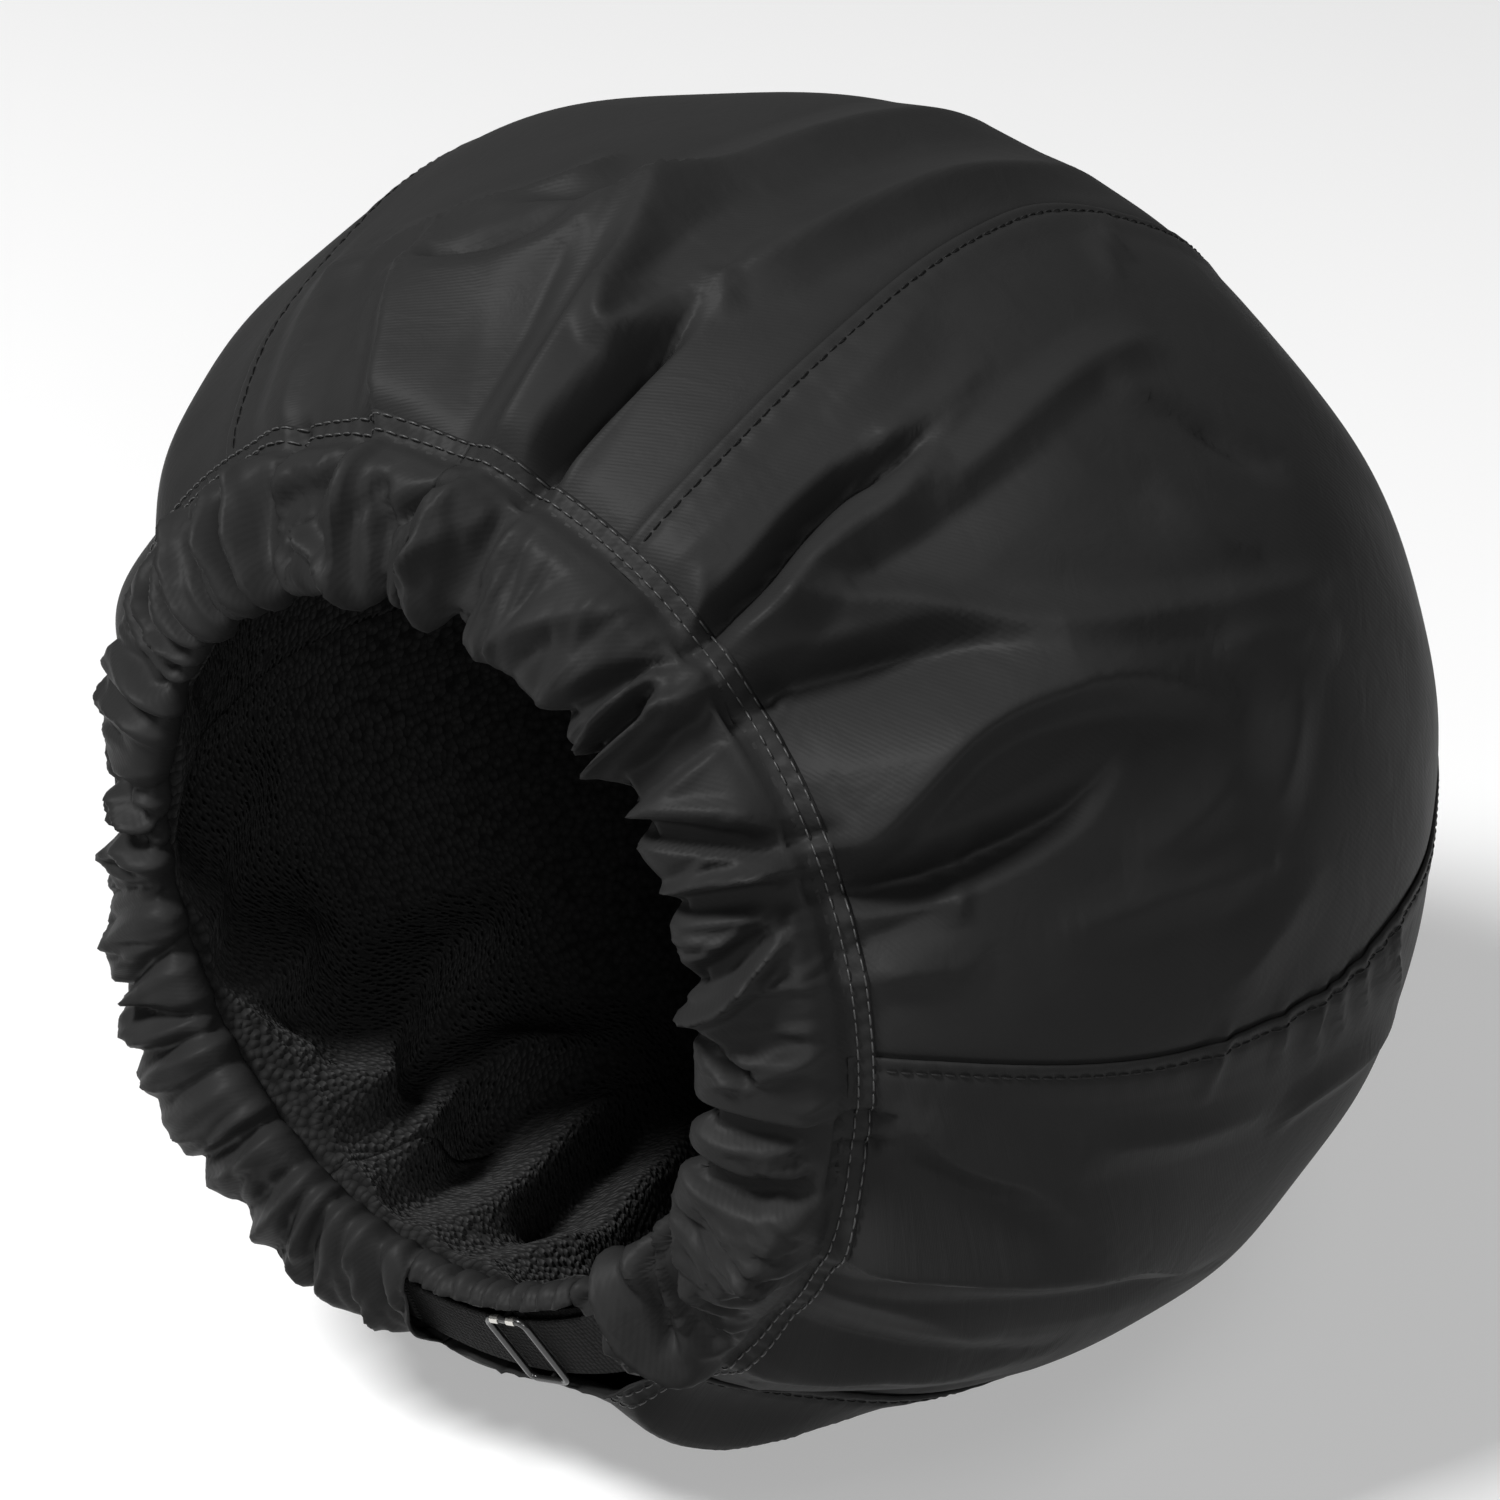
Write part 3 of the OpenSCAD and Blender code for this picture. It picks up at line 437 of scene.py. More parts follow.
def farFolds(phi, w):
    grow = np.maximum(0, w - shellFolds["farFrom"]) / shellFolds["farPeak"]
    fade = grow * np.exp(1 - grow)
    total = np.zeros(np.broadcast(phi, w).shape)
    for at, height, half in shellFolds["far"]:
        total += fade * bell(turnFrom(phi, at), height, 0, half)
    return total


# broad slack of the cloth between the folds: height in mm, waves round the cap, and then the length in
# mm and the phase of the slant round it and of the swell up the crown
slack = {
    "waves": [(0.9, 3, 41, 0.7, 33, 1.1), (0.6, 7, -29, 2.1, 23, math.pi / 2),
              (0.35, 13, 17, 0, 15, math.pi / 2 - 0.8)],
    "from": -5, "over": 60, "poleOver": 120,
}


def slackWaves(phi, w):
    a = np.radians(phi)
    fade = smoothStep((w - slack["from"]) / slack["over"]) * smoothStep((poleW - w) / slack["poleOver"])
    return fade * sum(height * np.sin(turns * a + w / slant + phase) * np.sin(w / swell + swellPhase)
                      for height, turns, slant, phase, swell, swellPhase in slack["waves"])


# where the whole cap bulges or is pressed in: phi, w, height and reach in mm
bulges = [
    (61, 233, -3.5, 45), (30, 230, -1.5, 30), (107, 169, -1, 30), (121, 131, 4, 24), (132, 100, 3, 22),
    (145, 78, 1.5, 20), (158, 40, -3, 18), (180, 10, -9, 16), (200, -8, 3, 14), (217, -8, 7.5, 14),
    (232, -8, 4.5, 14), (248, -6, 5.5, 14), (262, 8, 0.5, 16), (-66, 82, -5, 24), (-44, 140, 4, 20),
    (-30, 175, 1.5, 25),
]

# mm that hold for the whole outside: bells are height, place and half width, fades are start and length
shell = {
    "foldGain": 1.15,
    "bandFullness": 2.5, "bandFade": (2, 8), "rimFade": (14, 10),
    "ridge": (0.9, -3, 2.5), "groove": (-1.8, 0, 6), "pinch": (0.55, -1, 6),
    "rimPress": 9, "bulgeFade": (6, 8),
    "crownStop": -14, "seamStop": -4, "seamOver": 4,
    "elasticTop": 2.3, "rimStop": -6, "rimStopFade": (28, 7),
}


def bulgeHeight(phi, w):
    total = np.zeros(np.broadcast(phi, w).shape)
    for at, up, height, reach in bulges:
        x = np.radians(turnFrom(phi, at)) * ringRadius(w)
        total += height * np.exp(-(x ** 2 + (w - up) ** 2) / (2 * reach ** 2))
    inside, over = shell["bulgeFade"]
    return total * smoothStep((w - rimW + inside) / over)


def overElastic(h, w, softness=0.5):
    # a pleat goes no deeper than the elastic in the tunnel
    drop = shell["seamStop"] - shell["crownStop"]
    nearSeam = shell["crownStop"] + drop * smoothStep(-w / shell["seamOver"])
    onElastic = shell["elasticTop"] - np.interp(-w, section["along"], section["h"])
    deepest = np.where(w > -shell["seamOver"], nearSeam, onElastic)
    down, over = shell["rimStopFade"]
    deepest = deepest + (shell["rimStop"] - deepest) * smoothStep((-w - down) / over)
    return deepest + softness * np.logaddexp(0, (h - deepest) / softness)


def shellHeight(phi, w):
    phi, w = np.broadcast_arrays(np.asarray(phi, float), np.asarray(w, float))
    down, over = shell["bandFade"]
    inside, rimOver = shell["rimFade"]
    onBand = smoothStep((-w - down) / over) * smoothStep((w - rimW + inside) / rimOver)
    outer = smoothStep((w - rimW) / shell["rimPress"] + 1)  # inside the rim the cloth lies on the elastic
    pinch = 1 - bell(w, *shell["pinch"])  # the stitched seam holds the cloth in
    folds = shell["foldGain"] * foldHeight(allFolds, phi, w) * outer * pinch + farFolds(phi, w)
    seamDip = bell(w, *shell["ridge"]) + bell(w, *shell["groove"])
    form = overElastic(folds + shell["bandFullness"] * onBand + seamDip, w)
    return form + slackWaves(phi, w) + bulgeHeight(phi, w)


# mesh builders

def newObject(name, mesh, material):
    made = bpy.data.objects.new(name, mesh)
    bpy.context.scene.collection.objects.link(made)
    mesh.materials.append(material)
    mesh.shade_smooth()
    return made


def fillMesh(name, points, faces, uv=None):
    mesh = bpy.data.meshes.new(name)
    sizes = [len(f) for f in faces]
    corners = np.concatenate([np.asarray(f, np.int32).ravel() for f in faces])
    mesh.vertices.add(len(points))
    mesh.vertices.foreach_set("co", (np.asarray(points) * mm).astype(np.float32).ravel())
    mesh.loops.add(len(corners))
    mesh.loops.foreach_set("vertex_index", corners)
    mesh.polygons.add(len(sizes))
    starts = np.concatenate([[0], np.cumsum(sizes)[:-1]]).astype(np.int32)
    mesh.polygons.foreach_set("loop_start", starts)
    if uv is not None:
        layer = mesh.uv_layers.new(name="clothPlan")
        layer.data.foreach_set("uv", np.asarray(uv, np.float32)[corners].ravel())
    mesh.update(calc_edges=True)
    mesh.validate()
    return mesh


def gridFaces(rows, cols, start=0, flip=False, loop=False):
    at = start + np.arange(rows * cols).reshape(rows, cols)
    if loop:
        at = np.concatenate([at, at[:, :1]], 1)
    quads = np.stack([at[:-1, :-1], at[1:, :-1], at[1:, 1:], at[:-1, 1:]], -1).reshape(-1, 4)
    return list(quads[:, ::-1] if flip else quads)


def clothGrid(name, points, uv, material, thickness, flip=False, tip=None):
    rows, cols = points.shape[:2]
    faces = gridFaces(rows, cols, flip=flip)
    flat = points.reshape(-1, 3)
    plan = uv.reshape(-1, 2)
    if tip is not None:
        last = (rows - 1) * cols
        fan = [(last + j, len(flat), last + j + 1) for j in range(cols - 1)]
        faces += [f[::-1] for f in fan] if flip else fan
        flat = np.concatenate([flat, [tip]])
        plan = np.concatenate([plan, plan[-cols // 2:-cols // 2 + 1]])
    made = newObject(name, fillMesh(name, flat, faces, plan), material)
    body = made.modifiers.new("clothThickness", "SOLIDIFY")
    body.thickness = thickness * mm
    body.offset = -1
    return made


# materials

def hexLinear(code):
    parts = [int(code[i:i + 2], 16) / 255 for i in (1, 3, 5)]
    return tuple(c / 12.92 if c <= 0.04045 else ((c + 0.055) / 1.055) ** 2.4 for c in parts) + (1.0,)


def addNode(tree, kind, settings=None, links=None):
    node = tree.nodes.new("ShaderNode" + kind)
    for key, value in (settings or {}).items():
        if isinstance(key, str) and hasattr(node, key):
            setattr(node, key, value)
        else:
            node.inputs[key].default_value = value
    for key, socket in (links or {}).items():
        tree.links.new(socket, node.inputs[key])
    return node


def newMaterial(name):
    material = bpy.data.materials.new(name)
    material.use_nodes = True
    tree = material.node_tree
    return material, tree, tree.nodes["Principled BSDF"]


def setShader(tree, shader, links, constants):
    for key, socket in links.items():
        tree.links.new(socket, shader.inputs[key])
    for key, value in constants.items():
        shader.inputs[key].default_value = value


planUnit = 100.0  # mm of cloth to one unit of the cloth plan
waveTurn = 0.314159  # a wave texture repeats once in this many units at scale 1


def nylonTaffeta():
    # calendered nylon taffeta: a close plain weave, pressed smooth, with a soft broad sheen and a faint
    # slanting grain; thread spacing is near 0.2 mm, and the grain is drawn at 0.8 mm so that it shows
    look = {"dark": "#252525", "light": "#2a2a2a", "grain": 0.8, "cloud": 14.0, "crease": 11.0,
            "roughness": (0.46, 0.56)}
    material, tree, shader = newMaterial("calenderedNylonTaffeta")
    plan = addNode(tree, "UVMap", {"uv_map": "clothPlan"}).outputs[0]
    grain = addNode(tree, "TexWave", {"bands_direction": "DIAGONAL", "Distortion": 0.6, "Detail": 1.0,
                                      "Scale": waveTurn / (look["grain"] / planUnit)}, {"Vector": plan})
    cloud = addNode(tree, "TexNoise", {"Scale": planUnit / look["cloud"], "Detail": 3.0}, {"Vector": plan})
    creases = addNode(tree, "TexNoise", {"Scale": planUnit / look["crease"], "Detail": 4.0, "Roughness": 0.6,
                                         "Distortion": 0.8}, {"Vector": plan})
    shade = addNode(tree, "Mix", {"data_type": "RGBA", 6: hexLinear(look["dark"]),
                                  7: hexLinear(look["light"])}, {0: cloud.outputs["Fac"]})
    rough = addNode(tree, "MapRange", {"To Min": look["roughness"][0], "To Max": look["roughness"][1]},
                    {"Value": cloud.outputs["Fac"]})
    crumple = addNode(tree, "Bump", {"Strength": 0.3, "Distance": 0.0009}, {"Height": creases.outputs["Fac"]})
    bump = addNode(tree, "Bump", {"Strength": 0.17, "Distance": 0.0001},
                   {"Height": grain.outputs["Fac"], "Normal": crumple.outputs[0]})
    setShader(tree, shader,
              {"Base Color": shade.outputs[2], "Roughness": rough.outputs[0], "Normal": bump.outputs[0]},
              {"IOR": 1.53, "Specular IOR Level": 0.065})  # the weave shades most of each thread's gloss
    return material


def terryPile():
    # cotton terry, looped on a loom: clumps of small round loops that trap the light; the colour is painted
    # shade, darker in the hollows between the loops and lighter on their tops
    # a loop is near 1.3 mm; the clumps that show are drawn at 2.1 mm
    look = {"dark": "#0f0f0f", "light": "#282828", "clump": 2.1}
    material, tree, shader = newMaterial("loopedCottonTerry")
    place = addNode(tree, "TexCoord").outputs["Object"]
    loops = addNode(tree, "TexVoronoi", {"voronoi_dimensions": "3D", "feature": "F1", "Randomness": 0.7,
                                         "Scale": 1 / (look["clump"] * mm)}, {"Vector": place})
    height = addNode(tree, "MapRange", {"From Min": 0.0, "From Max": 0.75, "To Min": 1.0, "To Max": 0.0},
                     {"Value": loops.outputs["Distance"]})
    # painted shade: the colour goes dark where the loops are low and light where they stand up
    shade = addNode(tree, "Mix", {"data_type": "RGBA", 6: hexLinear(look["dark"]),
                                  7: hexLinear(look["light"])}, {0: height.outputs[0]})
    bump = addNode(tree, "Bump", {"Strength": 1.0, "Distance": 0.0013}, {"Height": height.outputs[0]})
    setShader(tree, shader, {"Base Color": shade.outputs[2], "Normal": bump.outputs[0]},
              {"Roughness": 0.95, "IOR": 1.45, "Specular IOR Level": 0.1, "Sheen Weight": 0.05,
               "Sheen Roughness": 0.6})
    return material


def sewingThread(name, dark, light, rough, gloss, lay=0.4):
    material, tree, shader = newMaterial(name)
    place = addNode(tree, "TexCoord").outputs["Object"]
    plies = addNode(tree, "TexNoise", {"Scale": 1 / (lay * mm), "Detail": 2.0}, {"Vector": place})
    shade = addNode(tree, "Mix", {"data_type": "RGBA", 6: hexLinear(dark), 7: hexLinear(light)},
                    {0: plies.outputs["Fac"]})
    setShader(tree, shader, {"Base Color": shade.outputs[2]},
              {"Roughness": rough, "Specular IOR Level": gloss})
    return material


def wovenElastic():
    # woven elastic: rubber cores under black polyester, which give close rows of small dull bumps; the colour
    # is painted shade, darker in the hollows between the bumps and lighter on their tops
    # the rows are near 0.8 mm apart, and are drawn at 1.3 mm so that they show
    look = {"dark": "#0b0b0b", "light": "#232323", "bump": 1.3}
    material, tree, shader = newMaterial("wovenElasticWebbing")
    plan = addNode(tree, "UVMap", {"uv_map": "clothPlan"}).outputs[0]
    rows = addNode(tree, "TexVoronoi", {"voronoi_dimensions": "2D", "feature": "F1", "Randomness": 0.35,
                                        "Scale": planUnit / look["bump"]}, {"Vector": plan})
    height = addNode(tree, "MapRange", {"From Max": 0.7, "To Min": 1.0, "To Max": 0.0},
                     {"Value": rows.outputs["Distance"]})
    # painted shade: the colour goes dark where the bumps are low and light where they stand up
    shade = addNode(tree, "Mix", {"data_type": "RGBA", 6: hexLinear(look["dark"]),
                                  7: hexLinear(look["light"])}, {0: height.outputs[0]})
    bump = addNode(tree, "Bump", {"Strength": 0.9, "Distance": 0.0005}, {"Height": height.outputs[0]})
    setShader(tree, shader, {"Base Color": shade.outputs[2], "Normal": bump.outputs[0]},
              {"Roughness": 0.85, "Specular IOR Level": 0.15})
    return material


def wireFinish(name, look, constants):
    material, tree, shader = newMaterial(name)
    place = addNode(tree, "TexCoord").outputs["Object"]
    patch = addNode(tree, "TexNoise", {"Scale": 1 / (look["patch"] * mm), "Detail": look["detail"]},
                    {"Vector": place})
    shade = addNode(tree, "Mix", {"data_type": "RGBA", 6: hexLinear(look["dark"]),
                                  7: hexLinear(look["light"])}, {0: patch.outputs["Fac"]})
    rough = addNode(tree, "MapRange", {"To Min": look["roughness"][0], "To Max": look["roughness"][1]},
                    {"Value": patch.outputs["Fac"]})
    setShader(tree, shader, {"Base Color": shade.outputs[2], "Roughness": rough.outputs[0]}, constants)
    return material


nylon = nylonTaffeta()
terry = terryPile()
# spun polyester, twisted in two plies: dull black with a fine rope lay
thread = sewingThread("spunPolyesterThread", "#0c0c0c", "#222222", 0.7, 0.2)
# trilobal filament, twisted: its colour is painted pale, a painted glint standing in for the gloss of its
# long smooth fibres, so the band's dashes show pale
paintedGlintThread = sewingThread("twistedFilamentThreadPaintedGlint", "#2a2a2a", "#474747", 0.4, 0.4)
elastic = wovenElastic()
# steel wire, dipped in black enamel: a thin glossy coat, a little uneven
enamel = wireFinish("enamelledSteelWire", {"dark": "#0d0d0d", "light": "#1c1c1c", "patch": 2.0, "detail": 3.0,
                                           "roughness": (0.22, 0.38)}, {"IOR": 1.52, "Coat Weight": 0.4})
# nickel-plated steel, drawn and worn bright where the enamel has rubbed off
nickel = wireFinish("bareNickelPlate", {"dark": "#b9b7b2", "light": "#d8d6d0", "patch": 1.2, "detail": 4.0,
                                        "roughness": (0.15, 0.35)}, {"Metallic": 1.0})
print("materials made")

# crown gores: each laps over the next one at its high-phi seam, with a folded edge and a topstitch
gores = {
    "wander": [  # how far each seam strays, in degrees, at distances from the band seam
        [(0, 0), (60, -6), (110, -7), (175, -4), (250, 0), (352, 0)],
        [(0, 1), (60, 3), (110, 5), (150, 6), (180, 2), (250, 0), (352, 0)],
        [(0, 4), (45, 6), (110, 4), (250, 0), (352, 0)],
        [(0, 0), (80, 2), (160, -2), (250, 0), (352, 0)],
        [(0, 0), (80, -2), (160, 1), (250, 0), (352, 0)],
        [(0, 0), (80, 2), (160, 3), (250, 0), (352, 0)],
    ],
    "columns": [112, 112, 90, 60, 60, 112],
    "underlap": [(-4.5, -0.8), (-2, -0.8), (0.2, -0.75), (0.7, -0.5), (1.5, -0.25), (2.8, -0.1), (4.4, 0)],
    "lapEdge": [(9, 0.15), (6.8, 0.4), (5.2, 0.55), (4.2, 0.5), (3.4, 0.25), (2.9, 0.15), (2.4, 0.25),
                (1.7, 0.5), (1.0, 0.6), (0.45, 0.55), (0.1, 0.35), (0, 0), (0.15, -0.35), (0.8, -0.6)],
    "lapFrom": 40,  # mm of gore; where it is narrower, near the pole, the lap narrows too
    "stitchIn": 2.9,
    "pucker": (0.14, 3.5, 3), "puckerPitch": 6.5,
    "nearRows": (-1.5, 100, 1.25), "farRows": (100, 200, 2.4), "backRows": 44, "poleGap": 1.5, "poleDip": 1.0,
    "wanderRows": (-10, 360, 2.0), "wanderBlur": 21,
    "thickness": 0.45,
}


def seamAngle(g, w):
    base = cap["seamPhase"] + 360 / cap["goreCount"] * (g - 1)
    stops = gores["wander"][(g - 1) % cap["goreCount"]]
    at = np.arange(*gores["wanderRows"])
    stray = blurred(np.interp(at, *zip(*stops)), gores["wanderBlur"])
    return base + np.interp(w, at, stray)


def goreRows():
    near, far = np.arange(*gores["nearRows"]), np.arange(*gores["farRows"])
    back = np.linspace(gores["farRows"][1], poleW - gores["poleGap"], gores["backRows"])
    return np.concatenate([near, far, back])


def makeGore(g):
    w = goreRows()[:, None]
    radius = ringRadius(w)
    start, end = seamAngle(g, w), seamAngle(g + 1, w)
    width = np.radians(end - start) * radius
    shrink = np.minimum(1, width / gores["lapFrom"])
    under = np.array(gores["underlap"])
    edge = np.array(gores["lapEdge"])
    low = start + np.degrees(under[:, 0] * shrink / radius)
    high = end - np.degrees(edge[:, 0] * shrink / radius)
    share = np.linspace(0, 1, gores["columns"][g - 1] + 2)[1:-1]
    middle = low[:, -1:] + (high[:, :1] - low[:, -1:]) * share
    phi = np.concatenate([low, middle, high], 1)
    lift = np.concatenate([under[:, 1] * shrink, np.zeros_like(middle), edge[:, 1] * shrink], 1)
    fromEdge = np.radians(end - phi) * radius
    pucker = np.cos(2 * math.pi * w / gores["puckerPitch"] + g) * bell(fromEdge, *gores["pucker"])
    points = outsidePoint(phi, w, shellHeight(phi, w) + lift + pucker)
    plan = np.stack(np.broadcast_arrays(np.radians(phi) * radius, w), -1) / planUnit
    tip = outsidePoint(0, poleW, -gores["poleDip"])
    gore = clothGrid(f"crown_gore_{g}", points, plan, nylon, gores["thickness"], tip=tip)
    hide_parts(f"shell_panel_{g}")
    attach(gore, "cap")


for g in range(1, cap["goreCount"] + 1):
    makeGore(g)
print("crown gores made")

# band casing: the gathered tunnel round the opening, lapped on the crown at the band seam
casing = {
    "step": 0.75, "rowStep": 0.95, "middleR": 95,
    "inside": 10.0, "facingInside": 16.0, "lipEnd": -4.6, "facingStart": -31.5,
    "lift": 0.75, "lapFrom": -1, "lapOver": 2, "edgeTurn": 0.5,
    "pucker": (0.22, 1.9, 2.2), "puckerPitch": 4.1, "puckerWander": 23,
    "thickness": 0.6,
}


def makeCasing(node, phiFrom, phiTo, top, bottom):
    columns = int(math.radians(phiTo - phiFrom) * casing["middleR"] / casing["step"])
    phi = np.linspace(phiFrom, phiTo, columns)[None, :]
    w = np.linspace(top, bottom, int((top - bottom) / casing["rowStep"]))[:, None]
    onLap = smoothStep((w - casing["lapFrom"]) / casing["lapOver"])
    edgeDown = smoothStep((w - cap["lapW"]) / casing["edgeTurn"] + 1) * casing["edgeTurn"]
    arc = np.radians(phi) * ringR
    ripple = np.cos(2 * math.pi * arc / casing["puckerPitch"] + 2 * np.sin(arc / casing["puckerWander"]))
    h = shellHeight(phi, w) + (casing["lift"] - edgeDown) * onLap + ripple * bell(w, *casing["pucker"])
    points = outsidePoint(phi, w, h)
    plan = np.stack(np.broadcast_arrays(arc, w), -1) / planUnit
    piece = clothGrid(f"{node}_cloth", points, plan, nylon, casing["thickness"], flip=True)
    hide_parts(node)
    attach(piece, "cap")


lapTop = cap["lapW"]
insideW = rimW - casing["inside"]
windowFrom, windowTo = cap["windowFrom"], cap["windowTo"]
makeCasing("band_casing_left", cap["casingSeam"], windowFrom + 360, lapTop, insideW)
makeCasing("band_casing_right", windowTo, cap["casingSeam"], lapTop, insideW)
makeCasing("window_lip", windowFrom, windowTo, lapTop, casing["lipEnd"])
makeCasing("window_facing", windowFrom, windowTo, casing["facingStart"], rimW - casing["facingInside"])
print("band casing made")

# terry lining, from the inside of the rim to the crown's back, with the soft folds of its spare cloth
lining = {
    "depth": 11.0,  # mm inside the shell
    "rimPath": [(-30.5, 8.5), (-29.5, 10.5), (-28, 12.2), (-23, 13.6), (-14, 13.8), (-5, 13.5), (10, 12),
                (24, 11)],
    "from": -30.5, "nearTo": 60, "nearStep": 1.7, "farRows": 76, "poleGap": 3, "poleDip": 2.0, "columns": 60,
    "ease": 6.0, "turnIn": 2.5, "turnGap": 0.4,
    "seam": (-0.15, 0, 2.5),
    "softness": 0.8,
    "looseFrom": -26, "looseOver": 30, "looseBy": 1.5,
    "sag": {"at": -112, "half": 62, "side": 40, "height": 14, "over": 50, "end": 170, "endOver": 90},
    "folds": [
        (5, 5, [(-122, -24, 5), (-126, 0, 9), (-135, 50, 11), (-140, 81, 11), (-141, 105, 10),
            (-141, 126, 7), (-143, 150, 0)]),
        (5, 5, [(-112, -24, 5), (-118, 10, 9), (-124.5, 62, 12), (-125.5, 93, 12), (-124, 117, 10),
            (-123, 142, 6), (-125, 162, 0)]),
        (5, 5, [(-98, -24, 4), (-103, 15, 9), (-112, 79, 12), (-115.4, 116, 10), (-117.4, 135, 7),
            (-122, 160, 0)]),
        (5, 5, [(-86, -20, 4), (-92, 30, 9), (-100, 79, 11), (-106.6, 123, 9), (-111, 150, 0)]),
        (5, 6, [(-66, -20, 4), (-70, 30, 9), (-76, 80, 8), (-80, 120, 0)]),
        (6, 6, [(-44, -20, 4), (-46, 30, 8), (-50, 80, 6), (-53, 110, 0)]),
        (5, 5, [(-146, -22, 5), (-149, 10, 8), (-151, 40, 7), (-152, 75, 0)]),
        (5, 5, [(-160, -22, 4), (-163, 10, 6), (-166, 50, 5), (-168, 80, 0)]),
        (5, 5, [(-138, -25, 7), (-137, -14, 10), (-136, 2, 3)]),
        (5, 5, [(-129, -25, 7), (-128.5, -12, 10), (-128, 4, 3)]),
        (8, 8, [(172, -22, 3), (173, 0, 5), (176, 40, 5), (179, 80, 0)]),
        (7, 7, [(148, -22, 2), (149, 0, 4), (151, 30, 3), (153, 60, 0)]),
        (7, 7, [(118, -22, 2), (118, 0, 3), (120, 30, 2), (122, 60, 0)]),
        (7, 7, [(60, -22, 2), (60, 0, 4), (61, 30, 3), (62, 60, 0)]),
        (7, 7, [(20, -22, 3), (20, 0, 5), (21, 30, 4), (22, 60, 0)]),
        (7, 7, [(90, -22, 2), (90, 0, 4), (91, 30, 3), (92, 60, 0)]),
    ],
    "thickness": 1.2,
}


def liningSlack(phi, w):
    # slow waves of the loose cloth all round, and its sag where it stands off the shell below
    a = np.radians(phi)
    waves = 1.4 * np.sin(5 * a + w / 30) * np.sin(w / 26 + 1) + 0.8 * np.sin(11 * a - w / 19)
    loose = (waves + lining["looseBy"]) * smoothStep((w - lining["looseFrom"]) / lining["looseOver"])
    sag = lining["sag"]
    below = smoothStep((sag["half"] - np.abs(turnFrom(phi, sag["at"]))) / sag["side"])
    up = smoothStep((w - lining["looseFrom"]) / sag["over"]) * smoothStep((sag["end"] - w) / sag["endOver"])
    return loose + sag["height"] * below * up


def makeLining(g):
    w = np.concatenate([np.arange(lining["from"], lining["nearTo"], lining["nearStep"]),
                        np.linspace(lining["nearTo"], poleW - lining["poleGap"], lining["farRows"])])[:, None]
    span = 360 / cap["goreCount"]
    start = cap["seamPhase"] + span * (g - 1)
    phi = np.linspace(start, start + span, lining["columns"])[None, :]
    depth = np.interp(w, *zip(*lining["rimPath"]))
    fromSeam = np.radians(np.minimum(phi - start, start + span - phi)) * ringRadius(w)
    fold = foldHeight(lining["folds"], phi, w, sharpness=lining["softness"])
    h = -depth - fold - liningSlack(phi, w) - bell(fromSeam, *lining["seam"])
    points = crownPoint(phi, w, h)
    points[..., 2] = lining["depth"] + restOnFloor(points[..., 2] - lining["depth"])
    edgeW = insideW + lining["turnIn"]
    edge = outsidePoint(phi, edgeW, shellHeight(phi, edgeW) - casing["thickness"] - lining["turnGap"])
    leave = smoothStep((w - lining["from"]) / lining["ease"])[..., None]
    points = edge + (points - edge) * leave
    steps = np.linalg.norm(np.diff(points, axis=0), axis=-1).mean(1)
    along = np.concatenate([[0], np.cumsum(steps)])[:, None]
    plan = np.stack(np.broadcast_arrays(np.radians(phi) * ringRadius(w), along), -1) / planUnit
    tip = crownPoint(np.array(0.0), np.array(poleW), -lining["depth"] - lining["poleDip"])
    piece = clothGrid(f"lining_gore_{g}", points, plan, terry, lining["thickness"], flip=True, tip=tip)
    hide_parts(f"lining_panel_{g}")
    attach(piece, "cap")


for g in range(1, cap["goreCount"] + 1):
    makeLining(g)
print("lining made")

# stitches: short bent tubes whose ends dive into the cloth
stitching = {
    "pitch": 3.0, "length": 2.4, "radius": 0.24, "sides": 6, "rise": 0.28,
    "profile": [(0, -0.35, 0.5), (0.15, 0.6, 0.95), (0.5, 1, 1), (0.85, 0.6, 0.95), (1, -0.35, 0.5)],
    "seamFrom": 6, "seamTo": 338, "seamLift": 0.3,
    "bandRows": (0.5, 3.5), "bandLift": 0.15,
}


def stitchTubes(name, starts, ends, ups, material):
    share, lift, thick = np.array(stitching["profile"]).T  # along the stitch, of its rise, of its radius
    lift, thick = lift * stitching["rise"], thick * stitching["radius"]
    along = ends - starts
    along /= np.linalg.norm(along, axis=1, keepdims=True)
    side = np.cross(along, ups)
    side /= np.linalg.norm(side, axis=1, keepdims=True)
    up = np.cross(side, along)
    turn = np.linspace(0, 2 * math.pi, stitching["sides"], endpoint=False)
    middle = starts[:, None] + (ends - starts)[:, None] * share[:, None] + up[:, None] * lift[:, None]
    ring = side[:, None, None] * np.cos(turn)[:, None] + up[:, None, None] * np.sin(turn)[:, None]
    points = middle[:, :, None] + ring * thick[:, None, None]
    rings, sides = len(share), stitching["sides"]
    faces = []
    for k in range(len(starts)):
        base = k * rings * sides
        faces += [tuple(q) for q in gridFaces(rings, sides, base, loop=True)]
        faces.append(tuple(base + np.arange(sides)))
        faces.append(tuple(base + (rings - 1) * sides + np.arange(sides)[::-1]))
    return newObject(name, fillMesh(name, points.reshape(-1, 3), faces), material)


def seamStitches(g):
    w = np.arange(stitching["seamFrom"], stitching["seamTo"], stitching["pitch"])
    ends = []
    for at in (w, w + stitching["length"]):
        radius = ringRadius(at)
        width = np.radians(seamAngle(g + 1, at) - seamAngle(g, at)) * radius
        inset = gores["stitchIn"] * np.minimum(1, width / gores["lapFrom"])
        phi = seamAngle(g + 1, at) - np.degrees(inset / radius)
        ends.append(outsidePoint(phi, at, shellHeight(phi, at) + stitching["seamLift"]))
    ups = ends[0] - np.array([0, 0, centreZ])
    piece = stitchTubes(f"seam_stitches_{g}", ends[0], ends[1], ups, thread)
    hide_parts(f"seam_topstitch_{g}")
    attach(piece, "cap")


